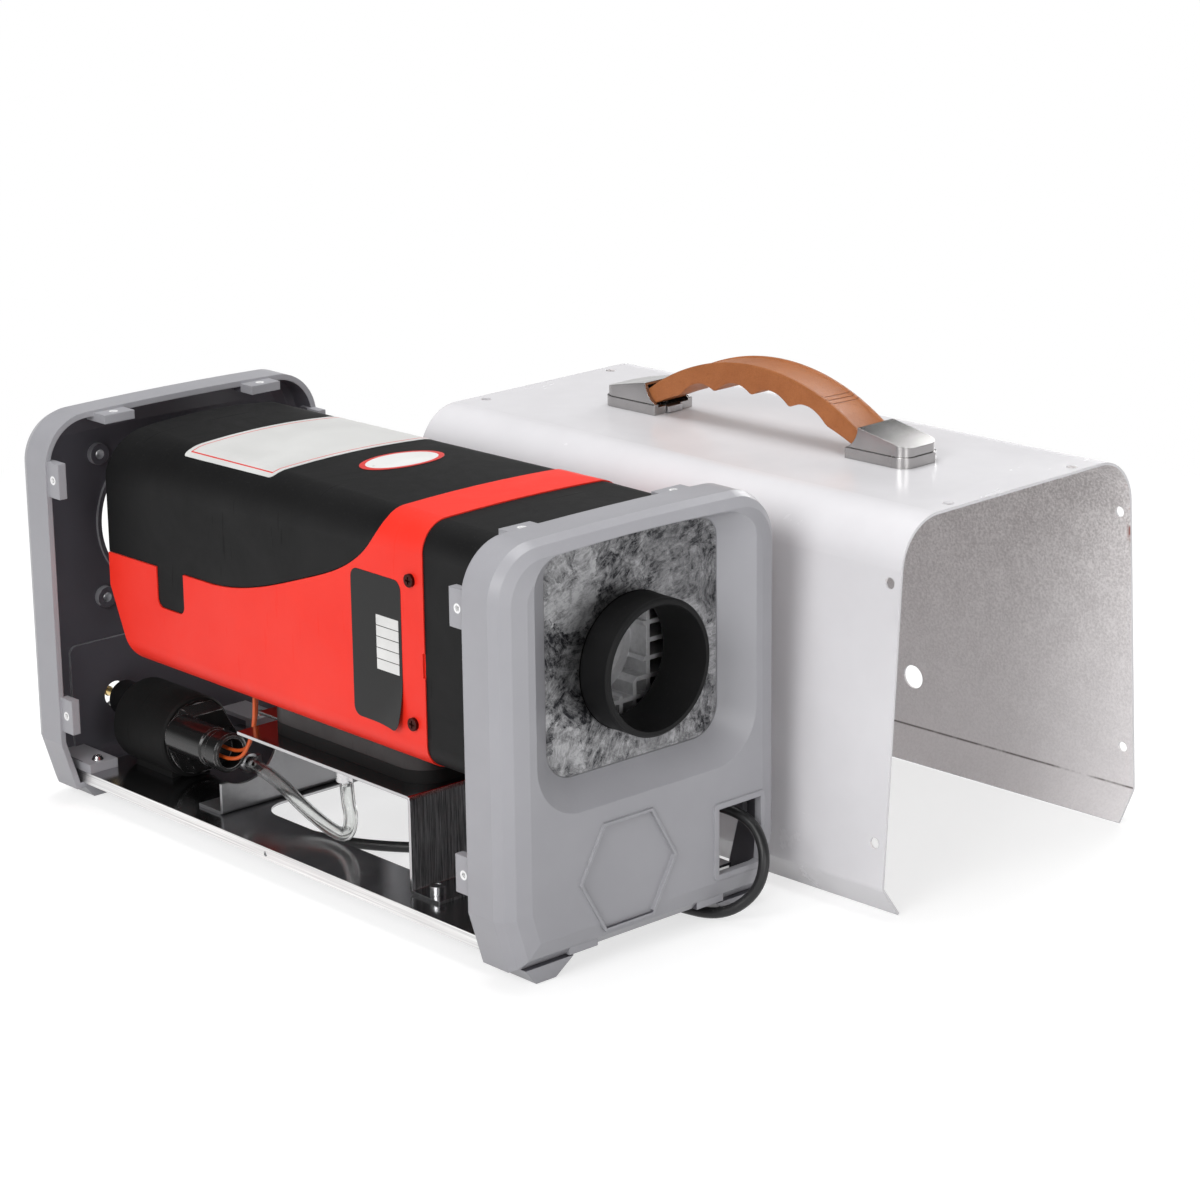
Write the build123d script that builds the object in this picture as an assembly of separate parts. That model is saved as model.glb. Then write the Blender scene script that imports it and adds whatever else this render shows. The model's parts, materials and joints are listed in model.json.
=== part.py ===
from build123d import *
import math
import os

# Diesel air heater in a portable case, with its sheet cover lifted off and stood beside it.
# Millimetres. X runs across the heater, Y from the warm-air outlet (-Y) to the intake (+Y), Z up.
# The origin lies on the floor under the middle of the chassis.

# ---------------------------------------------------------------- driving sizes: end panels
PANEL_HALF_WIDTH = 80.0
PANEL_SIDE_TOP = 190.0        # height of the side corners before they are rounded
PANEL_CROWN = 1.5             # rise of the top edge at the middle
PANEL_CORNER = 24.0
PANEL_BOTTOM = 7.0
PANEL_CHAMFER_TOP = 31.5      # the side leans in below this height
PANEL_BOTTOM_HALF = 72.5
PANEL_WALL = 2.8
HOLE_PLANE = 146.5            # cover screws, from the middle to each end
RIM = 150.5                   # open rim of each tray
SIDE_DEPTH = 16.0             # straight side, from rim to where the nose starts
NOSE = ((0.0, 0.0), (4.5, 2.0), (8.0, 6.0), (10.0, 13.0))   # depth past the side, inset
FACE_DEPTH = SIDE_DEPTH + NOSE[-1][0]
FACE_Y = -(RIM + FACE_DEPTH)

TAB_TOP_X = 43.0
TAB_SIDE_Z = (46.5, 162.4)
TAB_WIDTH = 17.0
TAB_REACH = 9.0               # how far a tab stands out of the rim
TAB_THICK = 4.2
TAB_HOLE = 1.2
COVER_SEAT = 1.2              # tabs sit this far in, so the cover lies flush with the rim

LUG_X = {-1: (-37.0, 37.0), 1: (-61.0, 37.0)}     # front and rear, the rear ones clear of the pump
LUG_INSET = 5.7               # of a lug's screw from the end of the base plate

FOOT_X = (42.0, 69.0)
FOOT_SOLE_X = (50.0, 61.0)
FOOT_SOLE_Y = (153.5, 171.0)

RECESS_HALF = 64.0            # outlet recess at the face
RECESS_LOW = 71.5
RECESS_TOP = 184.5
MOUTH_HALF = 49.0             # the same recess where it meets the plate
MOUTH_LOW = 84.5
MOUTH_TOP = 181.0
ARCH = 2.0
PLATE_FRONT = -166.0
PLATE_THICK = 1.0

HEX_CENTRE = (-13.2, 40.0)
HEX_RADIUS = 26.4
WINDOW_X = (39.7, 65.2)
WINDOW_Z = (23.5, 53.5)
WINDOW_FRAME = 2.6
RAISED = 0.9

INTAKE_RADIUS = 35.8
BOSS_SPACING = 71.5           # square of four holes round the intake
BOSS_RADIUS = 5.2
BOSS_HOLE = 2.3
FUEL_HOLE = 6.5

# ---------------------------------------------------------------- driving sizes: heater
AXIS_Z = 127.5                # outlet, exchanger, motor and impellers share this axis
OUTLET_RADIUS = 30.0
OUTLET_BORE = 27.3
OUTLET_LIP = -182.5

BODY_HALF = 57.5
BODY_LOW = 74.5
BODY_TOP = 186.0
COLLAR_FRONT = -163.5
SHELL_FRONT = -98.5
SHELL_REAR = 142.5
SHELL_WALL = 2.4
SHELL_RADIUS = (14.0, 24.0)   # top corners at the front and at the rear
SHELL_SIDE_TOP = (184.5, 181.0)
LOWER_RADIUS = 12.0
SEAM_GAP = 0.3
SEAM_START = -69.5            # where the black top meets the red band
BLACK_INSET = 0.6             # the black mouldings lie this far inside the red one

DECK_TOP = 60.3
DECK_SHEET = 1.5
RIVET = (20.0, 7.0)           # from the middle and from the rear edge of the deck's leg
DECK_HALF = 58.0
FRONT_LEG_Y = -86.5
REAR_LEG_Y = 53.5
FLANGE = 18.0

BASE_TOP = 15.6
BASE_SHEET = 1.2
BASE_HALF = 69.0
BASE_END = 154.7
BASE_FLANGE = 5.8
CUTOUT_HALF = 39.7
CUTOUT_Y = (-78.5, 48.5)
CUTOUT_RADIUS = 14.0

GASKET = 6.0
PAD_HALF = 47.0
PAD_Y = (-81.0, 31.0)
FOOT_HALF = 42.0
FOOT_Y = (-76.0, 26.0)
FOOT_TOP = 83.0
PORT_X = 12.0
EXHAUST_Y = -54.0
AIR_Y = 4.0
EXHAUST_RADIUS = 12.0
AIR_RADIUS = 12.5
PORT_END = 36.5
PORT_SHOULDER = 57.0          # a pipe clamped on a stub stops here, below the deck
FUEL_STUB = (-40.0, -19.0)
STUD_X = 36.0
STUD_Y = (-70.0, 20.0)

CORE_RADIUS = 27.0
CORE_BORE = 23.0
CORE_FRONT = -146.0
FIN_FRONT = -150.0
FIN_REAR = -16.0
FIN_THICK = 2.0
FIN_PITCH = 8.0
FIN_SIDE = 50.0
FIN_SPAN_Z = (81.0, 178.0)
CORE_REAR = 10.0

SHAFT_RADIUS = 2.5
SHAFT_CLEARANCE = 0.06
HOUSING_RADIUS = 43.0
HOUSING_Y = (10.0, 38.0)
MOTOR_RADIUS = 22.0
MOTOR_Y = (38.0, 78.0)
FAN_Y = (80.5, 95.5)
FAN_RADIUS = 45.0
FAN_HUB = 14.0
FAN_BLADES = 7
GRILLE_Y = (98.0, 100.5)

# ---------------------------------------------------------------- driving sizes: fuel side
PUMP = (-33.0, 35.6)          # X and Z of the pump's axis
SLEEVE_RADIUS = 20.0
SLEEVE_Y = (105.5, 146.5)
PUMP_RADIUS = 16.0
BARREL = (-48.0, 42.5)
BARREL_RADIUS = 9.5
BARREL_FRONT = 57.0
HEAD_Y = (90.5, 102.5)
OUTLET_PIPE = (-36.0, 34.4)
INLET_PIPE = (-33.0, 41.5)
HOSE_RADIUS = 3.25
HOSE_BORE = 1.9
BARB = 1.85
WIRE_RADIUS = 0.9
GROMMET = (-40.0, 47.0)
CABLE_RADIUS = 2.5
CABLE_EXIT = (43.0, -137.0)
GLAND_NECK = 4.1
CABLE_FIT = 0.05
FLOOR_GAP = 0.1               # the cable's underside above the floor
COIL_CENTRE = (40.0, 226.0)
COIL_OUTER = 37.5             # radius of the first half turn
COIL_HALF_TURNS = (6, 5)      # lower layer inwards, upper layer outwards
COIL_PITCH = 5.5              # between turns, and between the two layers
COIL_TAIL = 30.0
PLUG_SIZE = (17.0, 26.0, 15.9)

# ---------------------------------------------------------------- driving sizes: cover
COVER_PLACE = (184.0, -213.7, 34.57)
COVER_YAW = 2.4
COVER_SHEET = 1.2
COVER_Y = (-6.0, 300.0)       # in the cover's own frame, like the rest of this block
COVER_TOP = 144.0
COVER_SHOULDER = (80.5, 118.0)
COVER_BEND = (90.2, -20.0)
COVER_HEM = (79.5, -34.2)
COVER_CORNER = 23.0
COVER_HOLE = 2.5
COVER_HOLE_Y = (0.0, 293.0)
COVER_SIDE_Z = (0.0, 115.9)
CABLE_HOLE = (128.0, 6.6, 6.0)

HANDLE_MID = 146.5
CAP_OUTER = 96.5              # from the handle's middle to each end
CAP_LENGTH = 36.0
CAP_HALF = 13.0
CAP_BASE = 5.0
CAP_HEIGHT = 15.0
CAP_STEP = 0.8
CAP_SCREW_Y = 87.0            # from the handle's middle
CHANNEL_HALF = 5.0
TONGUE_HALF = 4.7
TONGUE_THICK = 3.0
TONGUE_LIFT = 0.4
GRIP_HALF = 10.0
GRIP_APEX = 33.5              # above the cover's top
GRIP_THICK = 12.0
GRIP_END = (66.0, 6.6)        # along Y and above the cover, where the underside enters a cap
FINGER_PITCH = 23.7
FINGER_RADIUS = 15.0
FINGER_DEPTH = 4.0


# ---------------------------------------------------------------- drawing helpers
def facing_front(y):
    """Plane at y on which local x and y are X and Z."""
    return Plane(origin=(0, y, 0), x_dir=(1, 0, 0), z_dir=(0, -1, 0))


def facing_side(x):
    """Plane at x on which local x and y are Y and Z."""
    return Plane(origin=(x, 0, 0), x_dir=(0, 1, 0), z_dir=(1, 0, 0))


def slab_x(sketch, x0, x1):
    return extrude(facing_side(x0) * sketch, amount=x1 - x0)


def slab_y(sketch, y0, y1):
    return extrude(facing_front(y1) * sketch, amount=y1 - y0)


def slab_z(sketch, z0, z1):
    return extrude(Pos(0, 0, z0) * sketch, amount=z1 - z0)


def rect(a0, a1, b0, b1, radius=0.0):
    """Rectangle between two pairs of limits, with rounded corners if asked."""
    shape = RectangleRounded(a1 - a0, b1 - b0, radius) if radius else Rectangle(a1 - a0, b1 - b0)
    return Pos((a0 + a1) / 2, (b0 + b1) / 2) * shape


def block(x0, x1, y0, y1, z0, z1):
    return slab_z(rect(x0, x1, y0, y1), z0, z1)


def rod_y(x, z, radius, y0, y1):
    return slab_y(Pos(x, z) * Circle(radius), y0, y1)


def rod_z(x, y, radius, z0, z1):
    return slab_z(Pos(x, y) * Circle(radius), z0, z1)


def turned_y(x, z, profile):
    """Solid turned about an axis along Y; the profile is a list of (radius, y)."""
    face = make_face(Polyline(*profile, close=True))
    return revolve(Pos(x, 0, z) * face, Axis((x, 0, z), (0, 1, 0)))


def turned_z(x, y, profile):
    """Solid turned about an axis along Z; the profile is a list of (radius, z)."""
    face = Plane.XZ * make_face(Polyline(*profile, close=True))
    return Pos(x, y, 0) * revolve(face, Axis.Z)


def arched(half, low, side_top, arch, low_radius, top_radius):
    """Outline with a flat bottom, straight sides, a crowned top and four round corners."""
    sides = Polyline((-half, side_top), (-half, low), (half, low), (half, side_top))
    crown = ThreePointArc((half, side_top), (0, side_top + arch), (-half, side_top))
    face = make_face([sides, crown])
    corners = face.vertices().sort_by(Axis.Y)
    face = fillet(corners[:2], low_radius)
    return fillet(face.vertices().sort_by(Axis.Y)[-2:], top_radius)


def sheet_path(points, radius, thick):
    """Cross-section of a folded sheet: its middle line through the points, bent with one radius."""
    return trace(FilletPolyline(*points, radius=radius), thick)


def bend_radii(points, share=0.45):
    """Largest even bend at each corner of a route, from its shorter run and its turn."""
    spots = [Vector(*p) for p in points]
    radii = []
    for before, here, after in zip(spots, spots[1:], spots[2:]):
        turn = math.radians((here - before).get_angle(after - here))
        run = min((here - before).length, (after - here).length)
        radii.append(share * run / math.tan(turn / 2))
    return radii


def tube(points, radius, bore=0.0):
    """Round tube along straight runs joined by tangent arcs, with its length and volume printed."""
    radii = bend_radii(points)
    path = FilletPolyline(*points, radius=radii)
    ring = Circle(radius) - Circle(bore) if bore else Circle(radius)
    solid = sweep(Plane(origin=path @ 0, z_dir=path % 0) * ring, path=path)
    section = math.pi * (radius ** 2 - bore ** 2)
    share = solid.volume / (section * path.length)
    print("tube length", round(path.length, 1), "volume share", round(share, 4),
          "radii", [round(r, 1) for r in radii])
    return solid


# ---------------------------------------------------------------- end panels
def panel_outline(inset=0.0):
    """Outline of an end panel, drawn in to the given inset."""
    half = PANEL_HALF_WIDTH
    frame = Polyline((-half, PANEL_SIDE_TOP), (-half, PANEL_CHAMFER_TOP),
                     (-PANEL_BOTTOM_HALF, PANEL_BOTTOM), (PANEL_BOTTOM_HALF, PANEL_BOTTOM),
                     (half, PANEL_CHAMFER_TOP), (half, PANEL_SIDE_TOP))
    crown = ThreePointArc((half, PANEL_SIDE_TOP), (0, PANEL_SIDE_TOP + PANEL_CROWN), (-half, PANEL_SIDE_TOP))
    face = make_face([frame, crown])
    face = fillet(face.vertices().sort_by(Axis.Y)[-2:], PANEL_CORNER)
    return offset(face, amount=-inset) if inset else face


def tray_form(wall=0.0, start=0.0):
    """Outer form of a tray, or its hollow when a wall is given, opening towards +Y."""
    sections = [facing_front(-(RIM - start)) * panel_outline(wall)]
    for depth, inset in NOSE:
        sections.append(facing_front(-(RIM + SIDE_DEPTH + depth - wall)) * panel_outline(inset + wall))
    return loft(sections, ruled=True)


def panel_tabs():
    """Six screw tabs that stand out of the rim towards the heater."""
    tabs = []
    inner, outer = -(RIM + 6.0), -(RIM - TAB_REACH)
    top = PANEL_SIDE_TOP + PANEL_CROWN - COVER_SEAT - 0.5
    for x in (-TAB_TOP_X, TAB_TOP_X):
        tab = block(x - TAB_WIDTH / 2, x + TAB_WIDTH / 2, inner, outer, top - TAB_THICK, top)
        tabs.append(tab - rod_z(x, -HOLE_PLANE, TAB_HOLE, top - 2 * TAB_THICK, top + 1))
    for side in (-1, 1):
        for z in TAB_SIDE_Z:
            face = side * (PANEL_HALF_WIDTH - COVER_SEAT)
            back = side * (PANEL_HALF_WIDTH - COVER_SEAT - TAB_THICK)
            tab = block(min(face, back), max(face, back), inner, outer, z - TAB_WIDTH / 2, z + TAB_WIDTH / 2)
            bore = slab_x(Pos(-HOLE_PLANE, z) * Circle(TAB_HOLE), -PANEL_HALF_WIDTH, PANEL_HALF_WIDTH)
            tabs.append(tab - bore)
    return tabs


def panel_feet():
    """Two tapered feet under a panel."""
    feet = []
    for side in (-1, 1):
        top = Pos(0, 0, PANEL_BOTTOM + 1.5) * rect(*sorted((side * FOOT_X[0], side * FOOT_X[1])),
                                                   FACE_Y + 3.0, -RIM)
        sole = rect(*sorted((side * FOOT_SOLE_X[0], side * FOOT_SOLE_X[1])), -FOOT_SOLE_Y[1], -FOOT_SOLE_Y[0])
        feet.append(loft([sole, top]))
    return feet


def base_lugs(places):
    """Lugs on a panel's floor that reach over the end of the base plate and take its screws."""
    lugs = []
    floor = PANEL_BOTTOM + PANEL_WALL
    wall = -(RIM + FACE_DEPTH - PANEL_WALL)
    for x in places:
        riser = block(x - 8, x + 8, wall - 0.5, -(BASE_END + 0.5), floor - 0.5, BASE_TOP + 4.5)
        tongue = block(x - 8, x + 8, -(BASE_END + 1.0), -(BASE_END - 11.0), BASE_TOP, BASE_TOP + 4.5)
        lug = riser + tongue
        lugs.append(lug - rod_z(x, -(BASE_END - LUG_INSET), 1.7, BASE_TOP - 1, BASE_TOP + 6))
    return lugs


def plain_tray(lug_places):
    """A tray with its tabs, feet and lugs, opening towards +Y."""
    tray = tray_form() - tray_form(PANEL_WALL, start=1.0)
    for piece in panel_tabs() + panel_feet() + base_lugs(lug_places):
        tray += piece
    return tray


def front_panel():
    """Front tray with the sunken outlet recess, the hexagon and the cable window."""
    outer = arched(RECESS_HALF, RECESS_LOW, RECESS_TOP, ARCH, 25.0, 14.0)
    inner = arched(MOUTH_HALF, MOUTH_LOW, MOUTH_TOP, ARCH, 14.0, 10.0)
    wall = 2.4
    funnel = loft([facing_front(FACE_Y - 0.6) * offset(outer, amount=wall),
                   facing_front(PLATE_FRONT) * offset(inner, amount=wall)], ruled=True)
    hollow = loft([facing_front(FACE_Y - 0.6) * outer, facing_front(PLATE_FRONT) * inner], ruled=True)
    throat = slab_y(inner, PLATE_FRONT - 0.2, PLATE_FRONT + 8)
    panel = plain_tray(LUG_X[-1]) + (funnel & tray_form()) - hollow - throat
    hexagon = Pos(*HEX_CENTRE) * RegularPolygon(HEX_RADIUS, 6)
    rim = Pos(*HEX_CENTRE) * RegularPolygon(HEX_RADIUS + 1.6, 6)
    panel += slab_y(rim, FACE_Y - RAISED, FACE_Y + 0.5)
    panel -= slab_y(hexagon, FACE_Y - 2, FACE_Y + RAISED)
    frame = rect(WINDOW_X[0] - WINDOW_FRAME, WINDOW_X[1] + WINDOW_FRAME,
                 WINDOW_Z[0] - WINDOW_FRAME, WINDOW_Z[1] + WINDOW_FRAME, 2.0)
    panel += slab_y(frame, FACE_Y - RAISED, FACE_Y + 0.5)
    panel -= slab_y(rect(*WINDOW_X, *WINDOW_Z), FACE_Y - 3, FACE_Y + PANEL_WALL + 2)
    return panel


def rear_panel():
    """Rear tray with the round air intake, four bosses and the fuel line's hole."""
    tray = mirror(plain_tray(LUG_X[1]), about=Plane.XZ)
    floor = RIM + FACE_DEPTH - PANEL_WALL
    half = BOSS_SPACING / 2
    tray += slab_y(rect(-58, 58, 16, 70.5, 4.0), floor - 1.5, floor + 0.5)
    tray += slab_y(Pos(0, AXIS_Z) * Circle(INTAKE_RADIUS + 2.2), floor - 1.5, floor + 0.5)
    for x in (-half, half):
        for z in (AXIS_Z - half, AXIS_Z + half):
            tray += rod_y(x, z, BOSS_RADIUS, floor - 3.0, floor + 0.5)
    for x in (-half, half):
        for z in (AXIS_Z - half, AXIS_Z + half):
            tray -= rod_y(x, z, BOSS_HOLE, floor - 5, floor + 6)
    tray -= rod_y(0, AXIS_Z, INTAKE_RADIUS, floor - 5, floor + 6)
    return tray - rod_y(*INLET_PIPE, FUEL_HOLE, floor - 5, floor + 6)


def outlet_plate():
    """Galvanised plate that closes the recess round the outlet."""
    sheet = arched(56.0, 77.5, 184.0, ARCH, 12.0, 12.0)
    hole = Pos(0, AXIS_Z) * Circle(OUTLET_RADIUS + 0.2)
    return slab_y(sheet - hole, PLATE_FRONT, PLATE_FRONT + PLATE_THICK)


# ---------------------------------------------------------------- heater casing
def body_section(y, inset=0.0):
    """Cross-section of the casing at y, whose top corners grow rounder towards the rear."""
    share = (y - SHELL_FRONT) / (SHELL_REAR - SHELL_FRONT)
    side_top = SHELL_SIDE_TOP[0] + share * (SHELL_SIDE_TOP[1] - SHELL_SIDE_TOP[0])
    corner = SHELL_RADIUS[0] + share * (SHELL_RADIUS[1] - SHELL_RADIUS[0])
    face = arched(BODY_HALF, BODY_LOW, side_top, BODY_TOP - side_top, LOWER_RADIUS, corner)
    return offset(face, amount=-inset) if inset else face


def body_loft(inset, y0, y1):
    return loft([facing_front(y) * body_section(y, inset) for y in (y0, y1)], ruled=True)


def side_profile():
    """Casing seen from the side: a leaning rear edge above and a cut-back tail below."""
    face = Polygon((SHELL_FRONT, 70), (118, 70), (119.5, 74.5), (137.5, 115.5), (142.5, 118.5),
                   (142.5, 126.5), (131, 190), (SHELL_FRONT, 190), align=None)
    return face


def rear_plan():
    """Casing seen from above, with its bowed rear edge."""
    sides = Polyline((-BODY_HALF - 5, 133.8), (-BODY_HALF - 5, SHELL_FRONT), (BODY_HALF + 5, SHELL_FRONT),
                     (BODY_HALF + 5, 133.8))
    bow = ThreePointArc((BODY_HALF + 5, 133.8), (0, SHELL_REAR), (-BODY_HALF - 5, 133.8))
    return make_face([sides, bow])


def casing(inset=0.0):
    """Hollow casing before it is parted, open at the front and at the rear."""
    outer = body_loft(inset, SHELL_FRONT, SHELL_REAR)
    outer &= slab_x(side_profile(), -BODY_HALF - 5, BODY_HALF + 5)
    outer &= slab_z(rear_plan(), BODY_LOW - 5, BODY_TOP + 5)
    hollow = body_loft(SHELL_WALL, SHELL_FRONT - 1, SHELL_REAR + 1)
    tail = Polygon((SHELL_FRONT - 2, 60), (111, 60), (134.9, 115.5), (137, 118), (160, 118), (160, 200),
                   (SHELL_FRONT - 2, 200), align=None)
    hollow &= slab_x(tail, -BODY_HALF, BODY_HALF)
    return outer - hollow - block(-46, 46, 104, 150, 84, 125)


def seam_region(gap=0.0):
    """Side view of the black upper moulding, widened by a gap: band edge, S-shaped seam, latch tongue."""
    wave = Spline((SEAM_START, 181.5), (-66.0, 173.5), (-59.9, 166.3), (-47.5, 157.2), (-16.0, 144.2), (21.5, 132.2),
                  (37.0, 128.9), (53.5, 127.2))
    if gap:
        spots = [k / 16 for k in range(17)]
        moved = [wave @ t + gap * Vector((wave % t).Y, -(wave % t).X) for t in spots]
        wave = Spline(*moved)
    start, end = wave @ 0, wave @ 1
    frame = Polyline(end, (150, end.Y - 1.0), (150, 200), (start.X, 200), start)
    return make_face([wave, frame]) + rect(76.0 - gap, 96.5 + gap, 107.5 - gap, 132, 4.0)


def upper_shell():
    """Black upper moulding with its latch tongues."""
    return casing(BLACK_INSET) & slab_x(seam_region(), -BODY_HALF - 5, BODY_HALF + 5)


def shell_screw_spots():
    """Screws that fix the red moulding to the front collar: side, Y and Z."""
    return [(side, -90.5, z) for side in (-1, 1) for z in (94.5, 158.5)]


def lower_shell():
    """Red lower moulding with the band over the top and the opening for the exchanger's foot."""
    shell = casing() - slab_x(seam_region(SEAM_GAP), -BODY_HALF - 5, BODY_HALF + 5)
    shell -= slab_z(rect(-FOOT_HALF - 0.2, FOOT_HALF + 0.2, FOOT_Y[0] - 0.2, FOOT_Y[1] + 0.2, 10.0),
                    BODY_LOW - 1, BODY_LOW + SHELL_WALL + 2)
    shell -= rod_z(*GROMMET, 4.0, BODY_LOW - 1, BODY_LOW + 8)
    for side, y, z in shell_screw_spots():
        hole = slab_x(Pos(y, z) * Circle(1.7), 50, 60)
        shell -= hole if side > 0 else mirror(hole, about=Plane.YZ)
    shell -= block(-BODY_HALF - 1, -BODY_HALF + 1.2, SHELL_FRONT - 1, SHELL_FRONT + 1.2, 116.5, 127.5)
    return shell


def front_collar():
    """Black front cap: an open box with a round hole for the outlet and a lap inside the band."""
    section = body_section(SHELL_FRONT, BLACK_INSET)
    inside = body_section(SHELL_FRONT, SHELL_WALL + 0.6)
    collar = slab_y(section, COLLAR_FRONT, SHELL_FRONT)
    collar += body_loft(SHELL_WALL + 0.15, SHELL_FRONT, SHELL_REAR) & block(
        -BODY_HALF, BODY_HALF, SHELL_FRONT - 2, SHELL_FRONT + 14, BODY_LOW, BODY_TOP)
    collar -= slab_y(offset(inside, amount=-0.9), COLLAR_FRONT + 2.5, SHELL_FRONT + 15)
    collar -= rod_y(0, AXIS_Z, OUTLET_RADIUS - 1.4, COLLAR_FRONT - 1, COLLAR_FRONT + 4)
    collar -= rod_z(*CABLE_EXIT, GLAND_NECK, BODY_LOW - 1, BODY_LOW + 8)
    for side, y, z in shell_screw_spots():
        hole = slab_x(Pos(y, z) * Circle(1.2), 48, 60)
        collar -= hole if side > 0 else mirror(hole, about=Plane.YZ)
    return collar


def outlet_nozzle():
    """Warm-air nozzle with its flange between the plate and the collar."""
    spigot = OUTLET_RADIUS - 1.6
    return turned_y(0, AXIS_Z, [
        (OUTLET_BORE, OUTLET_LIP), (OUTLET_RADIUS - 0.9, OUTLET_LIP), (OUTLET_RADIUS, OUTLET_LIP + 0.9),
        (OUTLET_RADIUS, PLATE_FRONT - 0.6), (OUTLET_RADIUS - 0.6, PLATE_FRONT - 0.6),
        (OUTLET_RADIUS - 0.6, PLATE_FRONT + PLATE_THICK), (OUTLET_RADIUS + 4, PLATE_FRONT + PLATE_THICK),
        (OUTLET_RADIUS + 4, COLLAR_FRONT), (spigot, COLLAR_FRONT), (spigot, COLLAR_FRONT + 7),
        (spigot - 1.8, COLLAR_FRONT + 7), (OUTLET_BORE - 0.6, COLLAR_FRONT)])


def shell_screws():
    """Pan-head screws of the red moulding, one group."""
    screws = []
    for side, y, z in shell_screw_spots():
        head = slab_x(Pos(y, z) * Circle(2.9), BODY_HALF, BODY_HALF + 1.5)
        head += slab_x(Pos(y, z) * Circle(1.15), BODY_HALF - 8, BODY_HALF)
        head -= slab_x(Pos(y, z) * (Rectangle(3.4, 0.9) + Rectangle(0.9, 3.4)), BODY_HALF + 0.7, BODY_HALF + 2)
        screws.append(head if side > 0 else mirror(head, about=Plane.YZ))
    return screws


def intake_grille():
    """Finger guard across the casing's rear: rings on four spokes."""
    plate = body_section(GRILLE_Y[0], SHELL_WALL + 0.2)
    rings = Sketch()
    for step in range(5):
        inner = 12.0 + 7.0 * step
        rings += Circle(inner + 4.6) - Circle(inner)
    spokes = Rectangle(3.2, 120) + Rectangle(120, 3.2)
    slots = Pos(0, AXIS_Z) * (rings - spokes)
    return slab_y(plate - slots, *GRILLE_Y)


# ---------------------------------------------------------------- heater inside
def heat_exchanger():
    """Finned aluminium casting: a domed core, fins on four sides, a rear flange and the foot."""
    core = rod_y(0, AXIS_Z, CORE_RADIUS, CORE_FRONT + 12, CORE_REAR)
    dome = turned_y(0, AXIS_Z, [(0, CORE_FRONT), (14, CORE_FRONT + 1.5), (23, CORE_FRONT + 6),
                                (CORE_RADIUS, CORE_FRONT + 12), (0, CORE_FRONT + 12)])
    z0, z1 = FIN_SPAN_Z
    fins = Sketch()
    for step in range(-3, 4):
        at = step * FIN_PITCH
        fins += rect(at - FIN_THICK / 2, at + FIN_THICK / 2, z0, z1)
        fins += rect(-FIN_SIDE, FIN_SIDE, AXIS_Z + at - FIN_THICK / 2, AXIS_Z + at + FIN_THICK / 2)
    fins -= Pos(0, AXIS_Z) * Circle(CORE_RADIUS - 4)
    fins &= rect(-FIN_SIDE, FIN_SIDE, z0, z1, 10.0)
    casting = core + dome + slab_y(fins, FIN_FRONT, FIN_REAR)
    casting += rod_y(0, AXIS_Z, HOUSING_RADIUS, CORE_REAR - 8, CORE_REAR)
    casting += slab_z(rect(-FOOT_HALF, FOOT_HALF, *FOOT_Y, 10.0), BODY_LOW - 1, FOOT_TOP)
    casting += slab_z(rect(-24, 24, FOOT_Y[0] + 8, CORE_REAR - 2, 6.0), FOOT_TOP - 1, AXIS_Z - CORE_BORE - 1)
    casting += slab_z(rect(-PAD_HALF, PAD_HALF, *PAD_Y, 14.0), DECK_TOP + GASKET, BODY_LOW)
    return casting - rod_y(0, AXIS_Z, CORE_BORE, CORE_FRONT + 26, CORE_REAR + 1)


def burner_tube():
    """Steel burner tube held by its flange in the rear of the exchanger."""
    return turned_y(0, AXIS_Z, [(16.0, -70), (17.2, -70), (17.2, CORE_REAR - 4), (CORE_BORE - 0.1, CORE_REAR - 4),
                                (CORE_BORE - 0.1, CORE_REAR), (16.0, CORE_REAR)])


def glow_plug():
    """Glow plug with its hexagon on top of the exchanger's bare neck."""
    x, y, foot = -13.0, -7.0, AXIS_Z + 22.0
    plug = rod_z(x, y, 4.2, foot, foot + 8) + slab_z(Pos(x, y) * RegularPolygon(6.0, 6), foot + 8, foot + 13)
    plug += rod_z(x, y, 2.2, foot + 13, foot + 20)
    return plug - rod_y(0, AXIS_Z, CORE_RADIUS, y - 10, y + 10)


def overheat_sensor():
    """Overheat sensor clipped on the exchanger's bare neck."""
    x, y, foot = 13.0, -7.0, AXIS_Z + 22.0
    sensor = slab_z(rect(x - 6, x + 6, y - 4, y + 4, 1.5), foot, foot + 9) + rod_z(x, y, 3.0, foot + 9, foot + 13)
    return sensor - rod_y(0, AXIS_Z, CORE_RADIUS, y - 10, y + 10)


def combustion_housing():
    """Cast housing of the combustion-air impeller, bolted behind the exchanger."""
    y0, y1 = HOUSING_Y
    housing = rod_y(0, AXIS_Z, HOUSING_RADIUS, y0, y1) - rod_y(0, AXIS_Z, 37.0, y0 + 4, y1 - 6)
    return housing - rod_y(0, AXIS_Z, 6.0, y1 - 7, y1 + 1) - rod_y(0, AXIS_Z, 5.0, y0 - 1, y0 + 5)


def combustion_impeller():
    """Side-channel wheel: a disc with radial pockets, pressed on the shaft."""
    y0, y1 = HOUSING_Y[0] + 6.5, HOUSING_Y[1] - 9.0
    wheel = rod_y(0, AXIS_Z, 34.0, y0, y1) - rod_y(0, AXIS_Z, SHAFT_RADIUS, y0 - 1, y1 + 1)
    pocket = rect(25.0, 31.5, -2.4, 2.4)
    pockets = Sketch()
    for step in range(16):
        pockets += Rot(0, 0, step * 22.5) * pocket
    return wheel - slab_y(Pos(0, AXIS_Z) * pockets, y0 - 1, y0 + 4.5)


def motor_shaft():
    return rod_y(0, AXIS_Z, SHAFT_RADIUS, HOUSING_Y[0] + 6.0, FAN_Y[1])


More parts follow.
